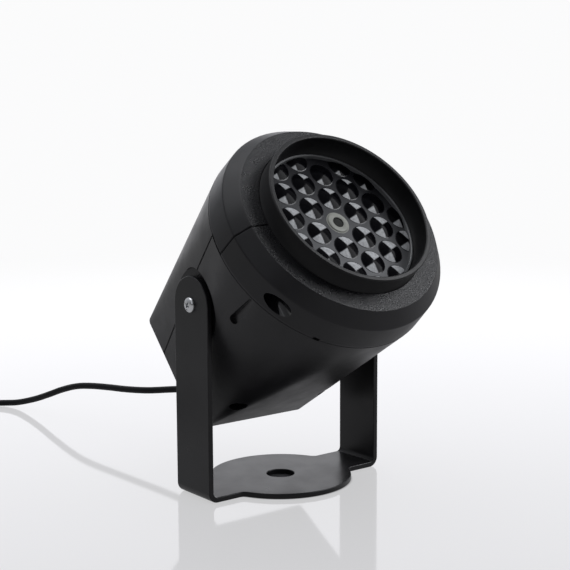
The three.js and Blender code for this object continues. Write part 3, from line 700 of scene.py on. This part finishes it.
def held(profile):
    """Adds points close to both ends of each long side, so that smooth shading stays in the corners."""
    points = [profile[0]]
    for a, b in zip(profile, profile[1:]):
        a, b = Vector(a), Vector(b)
        long = (b - a).length
        if long > 3:
            points += [tuple(a.lerp(b, 0.35 / long)), tuple(b.lerp(a, 0.35 / long))]
        points.append(tuple(b))
    return points


def outer_form(inset=0.0):
    """The head's skin from the rear to the front face, or the same drawn in by inset."""
    rows = []
    start = REAR + (inset or REAR_EDGE_R)
    if not inset:
        for a in np.radians((0, 22.5, 45, 67.5)):
            along = REAR + REAR_EDGE_R * (1 - math.cos(a))
            rows.append(section(along, 0, REAR_EDGE_R * (1 - math.sin(a))))
    for s in (start, *np.linspace(start + 0.4, SEAM - 0.85, 8), SEAM - 0.45):
        rows.append(section(s, (s - REAR) / (SEAM - REAR), inset))
    if not inset:
        rows += [section(s, 1, SEAM_DEEP) for s in (SEAM - 0.28, SEAM - 0.12)]
    side = (SEAM_R - inset, SEAM)
    shoulder = (SHOULDER_R - inset, SHOULDER - inset * 0.3)
    face = (FACE_R - inset, FACE - inset)
    inner = (FACE_R - 6, FACE - inset)
    profile = [(side[0], SEAM + 0.5)]
    profile += rounded_corner(side, shoulder, face, 1.1)
    profile += rounded_corner(shoulder, face, inner, 0.7)
    profile.append((HOOD_R + 1, profile[-1][1]))
    rows += [section(s, 1, 0, radius=r) for r, s in held(profile)]
    return loft(rows)


def hollow():
    rows = []
    for s in np.linspace(REAR + WALL, SEAM, 7):
        share = (s - REAR - WALL) / (SEAM - REAR - WALL)
        rows.append(section(s, share, 0, REAR_HALF - WALL, REAR_CORNER - 1, SEAM_R - WALL))
    rows.append(section(SHOULDER - 1, 1, radius=SHOULDER_R - WALL))
    rows.append(section(FACE - WALL - 0.4, 1, radius=FACE_R - 1))
    start = FLANGE_FROM - GAP - 2
    collar = lathe([
        (HOOD_R - 2, start), (FLANGE_R + WALL, start), (FLANGE_R + WALL, FACE), (HOOD_R - 2, FACE),
    ])
    return cut(loft(rows), collar)


def hood_room():
    groove = lathe([
        (HOOD_R - 1, FLANGE_FROM - GAP), (FLANGE_R + GAP, FLANGE_FROM - GAP),
        (FLANGE_R + GAP, FLANGE_TO + GAP), (HOOD_R - 1, FLANGE_TO + GAP),
    ])
    return joined(barrel("z", FACE - 10, FACE + 1, HOOD_R + GAP, (0, 0), 96), groove)


def along_pivot(side, start, end, radius, sides=48):
    """From start to end outwards along the pivot on one side, in the optics frame."""
    low, high = (start, end) if side > 0 else (-end, -start)
    return barrel("x", low, high, radius, (AXIS_DROP, 0), sides)


def inner_supports():
    """Bosses, shelf, posts and pads that stand inside the walls."""
    parts = []
    for side in (-1, 1):
        for x, s, *_ in SHELL_SCREWS.values():
            parts.append(barrel("y", -60, 60, SCREW_BOSS_R, (side * x, s), 24))
        parts += [
            along_pivot(side, PAD_FACE - 4.5, PAD_FACE, PAD_R),
            along_pivot(side, PAD_FACE - 2.8, PAD_FACE + 4, PAD_R + 2),
            along_pivot(side, PIVOT_BOSS_IN, PAD_FACE, PIVOT_BOSS_R),
            barrel("z", SHELF_FROM - 6, SHELF_TO, 4, (0, side * SINK_SCREW_V), 24),
        ]
    parts.append(lathe([
        (SHELF_BORE_R, SHELF_FROM), (60, SHELF_FROM), (60, SHELF_TO), (SHELF_BORE_R, SHELF_TO),
    ]))
    parts += [barrel("y", -60, DRIVER_V - GAP, 3.4, (0, s), 24) for s in DRIVER_POSTS]
    return joined(parts[0], *parts[1:])


def openings():
    """Everything cut right through the walls or into them."""
    cuts = [hood_room(), barrel("z", REAR - 1, REAR + WALL + 1, GLAND_R)]
    nut_top = PIVOT_BOSS_IN + NUT_THICK + GAP
    for side in (-1, 1):
        for x, s, seat, tip, pocket in SHELL_SCREWS.values():
            cuts.append(barrel("y", -60, seat, pocket, (side * x, s)))
            cuts.append(barrel("y", seat - 1, tip + 1, SCREW_HOLE_R, (side * x, s), 16))
        cuts += [
            along_pivot(side, PAD_FACE, PAD_FACE + 20, PAD_R, 72),
            along_pivot(side, PIVOT_BOSS_IN - 1, PAD_FACE + 1, PIVOT_HOLE_R),
            along_pivot(side, PIVOT_BOSS_IN - 1, nut_top, NUT_R + 2 * GAP, 6),
            barrel("z", SHELF_FROM - 4.5, SHELF_TO + 1, SCREW_HOLE_R, (0, side * SINK_SCREW_V), 16),
            side_recess(side),
        ]
    cuts += [barrel("y", DRIVER_V - 9, DRIVER_V, SCREW_HOLE_R, (0, s), 16) for s in DRIVER_POSTS]
    cuts.append(block(*NOTCH_ACROSS_UP, (SEAM - 0.6, SEAM + 0.8)))
    return joined(cuts[0], *cuts[1:])


def side_recess(side):
    """Long round-ended recess, its floor upright where the wall curves under."""
    r = RECESS_HALF_WIDE
    end = RECESS_HALF_LONG - r
    tool = extruded([*arc((0, end), r, 0, 180, 8), *arc((0, -end), r, 180, 360, 8)], 0, 5)
    upright = Matrix(((0, 0, side, 0), (1, 0, 0, 0), (0, 1, 0, 0), (0, 0, 0, 1)))
    drop = Matrix.Rotation(math.radians(RECESS_DROP), 4, "X")
    lean = Matrix.Rotation(math.radians(RECESS_LEAN * side), 4, "Y")
    x, v, along = RECESS_AT
    tool.data.transform(Matrix.Translation((side * x, v, along)) @ lean @ drop @ upright)
    return cleaned(tool)


def lower_space(shift):
    """All that is below the parting: on the axis in the ring, stepped up behind the seam."""
    outline = [
        (-90, -90), (-90, 90), (shift, 90), (shift, SEAM + shift),
        (PARTING_STEP + shift, SEAM + shift), (PARTING_STEP + shift, -90),
    ]
    made = extruded(outline, -80, 80)
    made.data.transform(Matrix(((0, 0, 1, 0), (1, 0, 0, 0), (0, 1, 0, 0), (0, 0, 0, 1))))
    return made


def parting_groove():
    """A shallow rebate in the skin along the parting, on both shells."""
    skin = cut(outer_form(), outer_form(PARTING_DEEP))
    band = cut(lower_space(PARTING_HALF), lower_space(-PARTING_HALF))
    return combine(band, "INTERSECT", skin)


SHELL_LOOKS = ["shell_plastic", "shell_plastic_grained", "shell_plastic_bore"]
SKIN, GRAIN, BORE = range(3)


def make_shells():
    space = cut(hollow(), inner_supports())
    pads = [along_pivot(side, PAD_FACE - 4.5, PAD_FACE, PAD_R, 72) for side in (-1, 1)]
    both = joined(outer_form(), *pads)
    cut(both, space, openings(), parting_groove())
    upper = cut(linked("upper", both.data.copy()), lower_space(GAP / 2))
    lower = combine(both, "INTERSECT", lower_space(-GAP / 2))
    for obj, name in ((lower, "lower_shell"), (upper, "upper_shell")):
        finished(obj, f"{name}_moulded", OPTICS, "head", "shell_plastic", (name,), SHELL_LOOKS, 28)
        for polygon in obj.data.polygons:
            polygon.material_index = shell_finish(polygon)


def shell_finish(polygon):
    """Skin, grain on the front face, or the smooth walls that core pins leave in the screw pockets."""
    x, up, along = OPTICS.inverted() @ polygon.center
    if along > FACE - 0.15 and polygon.normal.dot(ALONG) > 0.9:
        return GRAIN
    if abs(polygon.normal.dot(UPWARD)) > 0.02:
        return SKIN
    for at_x, at_along, seat, _, pocket in SHELL_SCREWS.values():
        if up < seat and math.hypot(abs(x) - at_x, along - at_along) < pocket + 0.02:
            return BORE
    return SKIN


# ------ screws and washers
def pan_screw(head_r, rise, shank_r, shank_long):
    """Cross-recessed pan-head screw along Z, its seat at 0 and its crown at +rise."""
    crown = [(head_r, 0), (head_r, rise * 0.32)]
    crown += [
        (head_r * math.cos(a) ** 0.9, rise * (0.32 + 0.68 * math.sin(a)))
        for a in np.radians((18, 36, 54, 70))
    ]
    made = lathe([
        (0, -shank_long), (shank_r * 0.8, -shank_long), (shank_r, -shank_long + 0.4), (shank_r, 0),
        *crown, (0, rise),
    ], 48)
    wing, deep = head_r * 0.62, rise * 0.75
    tools = []
    for turn in (0, 90):
        tool = block((-wing, wing), (-head_r * 0.11, head_r * 0.11), (rise - deep, rise + 1))
        for v in tool.data.vertices:
            if v.co.z < rise:
                v.co.x *= 0.45
        tool.data.transform(Matrix.Rotation(math.radians(turn + 20), 4, "Z"))
        tools.append(tool)
    tools.append(lathe([
        (0, rise - deep * 1.15), (head_r * 0.24, rise - deep * 0.6), (head_r * 0.27, rise + 0.5),
        (0, rise + 0.5),
    ], 24))
    return cut(made, *tools)


def pointing(direction, at):
    """Turns +Z to a direction and moves to a place, in the lamp's frame."""
    turn = Vector((0, 0, 1)).rotation_difference(Vector(direction))
    return Matrix.Translation(at) @ turn.to_matrix().to_4x4()


def make_hardware():
    for name, side in (("left", -1), ("right", 1)):
        finished(
            pan_screw(3.15, 1.7, 1.5, 14.6), f"pivot_screw_{name}_pan",
            HEAD @ pointing((side, 0, 0), (side * 45.1, 0, 0)),
            "head", "screw_steel", (f"pivot_screw_{name}",),
        )
        washer = lathe([
            (1.9, 0.15), (2.05, 0), (5.3, 0), (5.5, 0.2), (5.5, 0.9), (5.3, 1.1), (2.05, 1.1), (1.9, 0.95),
        ], 48)
        finished(
            washer, f"pivot_washer_{name}_turned", HEAD @ pointing((side, 0, 0), (side * 41.55, 0, 0)),
            "head", "white_nylon", (f"pivot_washer_{name}",),
        )
        for row, (x, s, seat, tip, _) in SHELL_SCREWS.items():
            finished(
                pan_screw(2.7, 2.0, 1.45, tip - seat), f"shell_screw_{row}_{name}_pan",
                OPTICS @ pointing((0, -1, 0), (side * x, seat - 0.1, s)),
                "head", "screw_steel", (f"shell_screw_{row}_{name}",),
            )


# ------ hood and lens plate
LENS_BACK, LENS_FACE, LENS_RIM, LENS_R, LENS_RIM_WIDE = 49.5, 50.2, 52.0, 33.5, 0.9
LENSLET_PITCH, LENSLET_R, LENSLET_RISE = 12.12, 5.6, 1.0
LENSLET_TURN = math.radians(18.9)
# each lenslet has two opposite pale wedges of painted light: where each points, and half its opening
UPPER_WEDGE = (math.radians(65), math.radians(43))
LOWER_WEDGE = (math.radians(236), math.radians(38))
PLATE_LOOKS = [f"clear_acrylic_{part}" for part in ("web", "lenslet", "deep", "hub", "well", "rim")]
WEB, DOME, DARK, HUB, WELL, RIM = range(6)


def make_hood():
    ledge = LENS_BACK - 1
    lip_out, lip_in = (HOOD_R, HOOD_LIP), (HOOD_BORE_R, HOOD_LIP)
    profile = [
        (31, ledge - 2.4), (HOOD_R, ledge - 2.4), (HOOD_R, FLANGE_FROM), (FLANGE_R, FLANGE_FROM),
        (FLANGE_R, FLANGE_TO), (HOOD_R, FLANGE_TO),
        *rounded_corner((HOOD_R, FLANGE_TO), lip_out, lip_in, 0.55),
        *rounded_corner(lip_out, lip_in, (HOOD_BORE_R, ledge), 0.45),
        (HOOD_BORE_R, ledge), (31, ledge),
    ]
    hood = even_normals(lathe(profile, 160))
    finished(hood, "hood_moulded", OPTICS, "head", "hood_plastic", ("hood",))


def lenslet_centres():
    c, s = math.cos(LENSLET_TURN), math.sin(LENSLET_TURN)
    for i in range(-3, 4):
        for j in range(-3, 4):
            x = (i + j / 2) * LENSLET_PITCH
            y = j * math.sqrt(3) / 2 * LENSLET_PITCH
            if 1 < math.hypot(x, y) < LENS_R:
                yield x * c - y * s, x * s + y * c


def wedge_starts(x, y):
    """How far from a lenslet's middle its two wedges of painted light start: they shrink towards the upper right
    rim, and the upper one is left off unlit lenslets.
    """
    rise = max(0.0, (y + 0.25 * x) / LENS_R + 0.1)
    away = math.hypot(x, y)
    unlit = y > 4 and (away > 25 or x > 20) or away > 30 and y > -8 or y > 21
    return LENSLET_R * 1.5 if unlit else 0.4 + 2.6 * rise, 1.0 + 2.2 * rise


def wedge_sides(x, y, wedge, start):
    """Signed distances inside the two straight sides of a wedge whose tip is `start` from the middle."""
    turn, half = wedge
    x, y = x - start * math.cos(turn), y - start * math.sin(turn)
    return (
        x * math.sin(half - turn) + y * math.cos(half - turn),
        x * math.sin(half + turn) - y * math.cos(half + turn),
    )


def lenslet(centre, sides=48):
    """One low closed dome with a dark edge of painted shade: points, faces, the faces' looks, the points' marks
    for the wedges of painted light.
    """
    radii = np.array([0.12, 0.3, 0.5, 0.68, 0.84, 0.93, 1.0]) * LENSLET_R
    upper, lower = wedge_starts(*centre)
    inside = LENS_R - LENS_RIM_WIDE - 0.1
    points, faces, looks, marks = [], [], [], []
    for r in radii:
        z = LENS_FACE + LENSLET_RISE * (1 - (r / LENSLET_R) ** 2) - 0.02
        for a in np.linspace(0, 2 * math.pi, sides, endpoint=False):
            x, y = centre[0] + r * math.cos(a), centre[1] + r * math.sin(a)
            shrink = min(1.0, inside / math.hypot(x, y))
            x, y = x * shrink, y * shrink
            points.append((x, y, z))
            x, y = x - centre[0], y - centre[1]
            marks.append((
                *wedge_sides(x, y, UPPER_WEDGE, upper), *wedge_sides(x, y, LOWER_WEDGE, lower),
            ))
    for ring in range(len(radii) - 1):
        for k in range(sides):
            a = ring * sides + k
            b = ring * sides + (k + 1) % sides
            faces.append((a, a + sides, b + sides, b))
            looks.append(DARK if ring == len(radii) - 2 else DOME)
    faces += [tuple(range(sides)), tuple(range(len(points) - sides, len(points)))[::-1]]
    looks += [DOME, WEB]
    return points, faces, looks, marks


def plate_look(centre):
    r = math.hypot(centre.x, centre.y)
    if r < 5 and centre.z > LENS_BACK + 0.1:
        return HUB if r > 2.5 else WELL
    return RIM if r > LENS_R - LENS_RIM_WIDE - 0.1 else WEB


def make_lens_plate():
    rim = LENS_R - LENS_RIM_WIDE
    disc = lathe([
        (0, LENS_FACE - 0.05), (1.8, LENS_FACE - 0.05), (1.8, LENS_BACK), (LENS_R - 0.2, LENS_BACK),
        (LENS_R, LENS_BACK + 0.2), (LENS_R, LENS_RIM - 0.2),
        (LENS_R - 0.2, LENS_RIM), (rim + 0.2, LENS_RIM), (rim, LENS_RIM - 0.2), (rim, LENS_FACE),
        (5.1, LENS_FACE), (4.8, LENS_FACE + 0.1), (4.5, LENS_FACE + 0.5), (4.2, LENS_FACE + 0.6),
        (2.7, LENS_FACE + 0.6), (2.4, LENS_FACE + 0.45), (2.1, LENS_FACE + 0.16), (0, LENS_FACE + 0.12),
    ], 120)
    points = [tuple(v.co) for v in disc.data.vertices]
    faces = [tuple(p.vertices) for p in disc.data.polygons]
    looks = [plate_look(p.center) for p in disc.data.polygons]
    bpy.data.objects.remove(disc)
    marks = [(-1.0,) * 4] * len(points)
    for centre in lenslet_centres():
        first = len(points)
        more, dome, dome_looks, dome_marks = lenslet(centre)
        points += more
        faces += [tuple(first + i for i in face) for face in dome]
        looks += dome_looks
        marks += dome_marks
    made = raw(points, faces)
    look_of = {tuple(sorted(face)): look for face, look in zip(faces, looks)}
    looks = [look_of.get(tuple(sorted(set(p.vertices))), DOME) for p in made.data.polygons]
    # where each lenslet's wedges of painted light lie
    wedges = made.data.attributes.new("wedges", "FLOAT_COLOR", "POINT")
    wedges.data.foreach_set("color", np.array(marks, np.float32).ravel())
    finished(made, "lens_plate_moulded", OPTICS, "head", "clear_acrylic", ("lens_plate",), PLATE_LOOKS)
    for polygon, look in zip(made.data.polygons, looks):
        polygon.material_index = look


# ------ strain relief, tie and plug
def make_gland():
    inside = REAR + WALL + GAP
    profile = [
        (0, inside + 1.5), (4.6, inside + 1.5), (4.8, inside + 1.3), (4.8, inside), (3.3, inside),
        (3.3, REAR - GAP), (4.25, REAR - GAP), (4.4, REAR - 0.45), (4.4, REAR - 1.35), (4.2, REAR - 1.6),
    ]
    start, end, ribs = REAR - 2.2, -63.6, 4
    step = (end - start) / ribs
    for i in range(ribs):
        at = start + i * step
        r0, r1 = (3.3 - (s - start) / (end - start) for s in (at, at + step * 0.62))
        profile += [
            (r0 - 0.1, at), (r0, at + step * 0.08), (r1, at + step * 0.58),
            (r1 - 0.12, at + step * 0.64), (r1 - 0.5, at + step * 0.68), (r1 - 0.5, at + step * 0.94),
        ]
    profile += [(2.3, end), (2.2, -63.9), (0, -64)]
    return finished(
        lathe(profile, 40), "strain_relief", OPTICS, "head", "seal_rubber", ("cord_gland",), crease=50,
    )


def rounded_box_outline(half_x, half_y, r, steps=5):
    return [
        p for q, (sx, sy) in enumerate([(1, 1), (-1, 1), (-1, -1), (1, -1)])
        for p in arc((sx * (half_x - r), sy * (half_y - r)), r, q * 90, q * 90 + 90, steps)
    ]


UPRIGHT = Matrix.Rotation(math.radians(90), 4, "X")


def make_tie():
    thick, wide, slack = 0.7, 5.0, 0.5
    half_x = COIL_COLUMNS * CORD_D / 2 + slack
    half_z = CORD_D + GAP
    outer = extruded(rounded_box_outline(half_x + thick, half_z + thick, 1.2), -wide / 2, wide / 2)
    inner = extruded(rounded_box_outline(half_x, half_z, 0.6), -wide, wide)
    tie = bevelled(cut(outer, inner), 0.18, 2)
    lift = Matrix.Translation((COIL_MID_R - 0.1, 0, half_z + thick))
    turn = Matrix.Rotation(math.radians(135), 4, "Z")
    tie.data.transform(Matrix.Translation((*COIL_AT, 0)) @ turn @ lift @ UPRIGHT)
    return finished(even_normals(tie), "coil_tie", TABLE, "stand", "cord_jacket", ("cord_tie",))


PLUG_END_Y, PLUG_HALF_X, PLUG_HIGH, PLUG_LONG = 150.0, 7.75, 8.0, 26.0
TONGUE_HALF_X, TONGUE_HALF_Z, TONGUE_LONG = 6.0, 2.25, 12.0


def make_plug():
    middle = PLUG_HIGH / 2
    outline = rounded_box_outline(1, 1, 0.3, 6)
    stations = [
        (0, 0.36), (0.5, 0.42), (3.2, 0.52), (4.2, 0.62), (6, 0.9), (8, 1.0), (PLUG_LONG - 1.2, 1.0),
        (PLUG_LONG - 0.4, 0.985), (PLUG_LONG, 0.94),
    ]
    rows = []
    for along, share in stations:
        half_x, half_z = PLUG_HALF_X * share, middle * min(1, share + 0.03)
        rows.append([(PLUG_X + x * half_x, PLUG_END_Y - along, middle + z * half_z) for x, z in outline])
    body = loft(rows)
    ribs = []
    for i in range(4):
        y = PLUG_END_Y - 10.5 - i * 2.2
        for side in (-1, 1):
            x = PLUG_X + side * (PLUG_HALF_X + 0.35)
            ribs.append(block((x - 0.8, x + 0.8), (y - 0.5, y + 0.5), (1.6, PLUG_HIGH - 1.6)))
    body = bevelled(cut(body, *ribs), 0.15, 2, 50)
    grip = finished(even_normals(body), "plug_grip", TABLE, "stand", "plug_plastic", ("plug_body",))
    start = PLUG_END_Y - PLUG_LONG - 0.1

    def sleeve(half_x, half_z, long, shift=0.0):
        made = extruded(rounded_box_outline(half_x, half_z, 0.5, 3), 0, long)
        made.data.transform(Matrix.Translation((PLUG_X, start + shift, middle)) @ UPRIGHT)
        return made

    outside = sleeve(TONGUE_HALF_X, TONGUE_HALF_Z, TONGUE_LONG)
    inside = sleeve(TONGUE_HALF_X - 0.4, TONGUE_HALF_Z - 0.4, 20, -1)
    windows = []
    for x in (PLUG_X - 2.9, PLUG_X + 2.9):
        windows.append(block((x - 1.1, x + 1.1), (start - 7.2, start - 5.0), (middle + 1, middle + 4)))
    metal = even_normals(bevelled(cut(cut(outside, inside), *windows), 0.08, 2))
    contacts = finished(metal, "plug_sleeve", TABLE, "stand", "screw_steel", ("plug_contacts",))
    half_core = TONGUE_HALF_X - 0.45
    core = block(
        (PLUG_X - half_core, PLUG_X + half_core), (start - TONGUE_LONG + 0.4, start - 0.2),
        (middle - TONGUE_HALF_Z + 0.45, middle - 0.1),
    )
    core = finished(bevelled(core, 0.15, 2), "plug_core", TABLE, "stand", "plug_plastic")
    return [grip, contacts, core]


# ------ build
make_bracket()
make_shells()
make_hardware()
make_hood()
make_lens_plate()
gland = make_gland()
lead, lead_path = make_cord()
tie = make_tie()
plug = make_plug()


# ------ floor, world and lights
WHITE = (0.965, 0.965, 0.97, 1)
BRIGHT_SIDE = Vector((0.35, 0.45, 0.8)).normalized()
ROOM_LIGHT = (0.04, 0.55)  # away from that side and towards it
FLOOR_LIGHT = 0.4  # how much of the floor's glow falls on the lamp


def make_floor():
    """Pale glossy table top: it glows, but not under the foot, where the glow is left out as a painted shadow of
    the foot plate, and it fades into the room far out.
    """
    corners = [(40 * x, 40 * y, 0) for x, y in ((-1, -1), (1, -1), (1, 1), (-1, 1))]
    floor = raw(corners, [(0, 1, 2, 3)], "floor")
    look = Look("table_top", (0.29, 0.283, 0.30), 0.06, specular=0.2)
    far_out = look.mapped(look.vector("LENGTH", look.place)["Value"], 0.22, 0.75, 0, 1, "SMOOTHSTEP")
    seen = look.node("ShaderNodeLightPath").outputs["Is Camera Ray"]
    from_foot = look.vector("DISTANCE", look.place, (0, PIVOT.y, 0))["Value"]
    # painted shadow: no glow under the foot plate, seen through its hole
    outside_painted_shadow = look.mapped(from_foot, 0.029, 0.031, 0, 1)
    glow = look.maths("MULTIPLY", look.mapped(seen, 0, 1, FLOOR_LIGHT * 0.8, 0.55), outside_painted_shadow)
    near = look.node("ShaderNodeEmission", {"Color": WHITE, "Strength": glow})
    lit = look.node("ShaderNodeAddShader", {0: look.shader.outputs[0], 1: near.outputs[0]})
    strength = look.mapped(seen, 0, 1, FLOOR_LIGHT, 1)
    far = look.node("ShaderNodeEmission", {"Color": WHITE, "Strength": strength})
    mix = look.node("ShaderNodeMixShader", {0: far_out, 1: lit.outputs[0], 2: far.outputs[0]})
    look.tree.links.new(mix.outputs[0], look.tree.nodes["Material Output"].inputs["Surface"])
    floor.data.materials.append(look.material)
    return floor


def make_world():
    """A white room seen directly; what lights the lamp is brighter behind and above than in front."""
    world = bpy.data.worlds.new("studio")
    world.use_nodes = True
    SCENE.world = world
    tree = world.node_tree
    tree.nodes.clear()
    place = add_node(tree, "ShaderNodeTexCoord").outputs["Generated"]
    toward = add_node(
        tree, "ShaderNodeVectorMath", {0: place, 1: BRIGHT_SIDE}, operation="DOT_PRODUCT",
    ).outputs["Value"]
    strength = add_node(tree, "ShaderNodeMapRange", {
        "Value": toward, "From Min": -0.55, "From Max": 0.75,
        "To Min": ROOM_LIGHT[0], "To Max": ROOM_LIGHT[1],
    }, interpolation_type="SMOOTHSTEP").outputs[0]
    room = add_node(tree, "ShaderNodeBackground", {"Color": (0.93, 0.95, 1.0, 1), "Strength": strength})
    white = add_node(tree, "ShaderNodeBackground", {"Color": WHITE})
    seen = add_node(tree, "ShaderNodeLightPath").outputs["Is Camera Ray"]
    mix = add_node(tree, "ShaderNodeMixShader", {0: seen, 1: room.outputs[0], 2: white.outputs[0]})
    add_node(tree, "ShaderNodeOutputWorld", {"Surface": mix.outputs[0]})


def soft_light(name, place, aim, size, power, colour):
    data = bpy.data.lights.new(name, "AREA")
    data.shape, data.size, data.size_y = "RECTANGLE", *size
    data.energy, data.color = power, colour
    light = bpy.data.objects.new(name, data)
    light.location = place
    light.rotation_mode = "QUATERNION"
    light.rotation_quaternion = (Vector(aim) - Vector(place)).to_track_quat("-Z", "Y")
    light.visible_camera = False
    SCENE.collection.objects.link(light)
    return light


def keep_off(light, obj):
    """The light leaves this object alone, so that it draws no bright rectangle on it."""
    left_out = bpy.data.collections.new(f"{light.name}_leaves_out")
    left_out.objects.link(obj)
    left_out.collection_objects[0].light_linking.link_state = "EXCLUDE"
    light.light_linking.receiver_collection = left_out


floor = make_floor()
make_world()
key = soft_light("key", (0.85, -0.65, 0.82), (0, 0, 0.10), (0.7, 0.7), 11.5, (0.96, 0.97, 1.0))
overhead = soft_light("overhead", (-0.15, 0.25, 1.0), (0, 0, 0.05), (0.9, 0.6), 3.0, (0.96, 0.97, 1.0))
left_fill = soft_light("left_fill", (-0.9, -0.5, 0.6), (0, 0, 0.08), (0.5, 0.7), 0.6, (0.92, 0.94, 1.0))
soft_light("backdrop", (0.95, 1.22, 0.32), (0, 0, 0.32), (1.9, 0.64), 2.9, (0.98, 0.97, 1.0))
for light in (key, overhead, left_fill):
    keep_off(light, floor)
SCENE.view_settings.view_transform = "Standard"
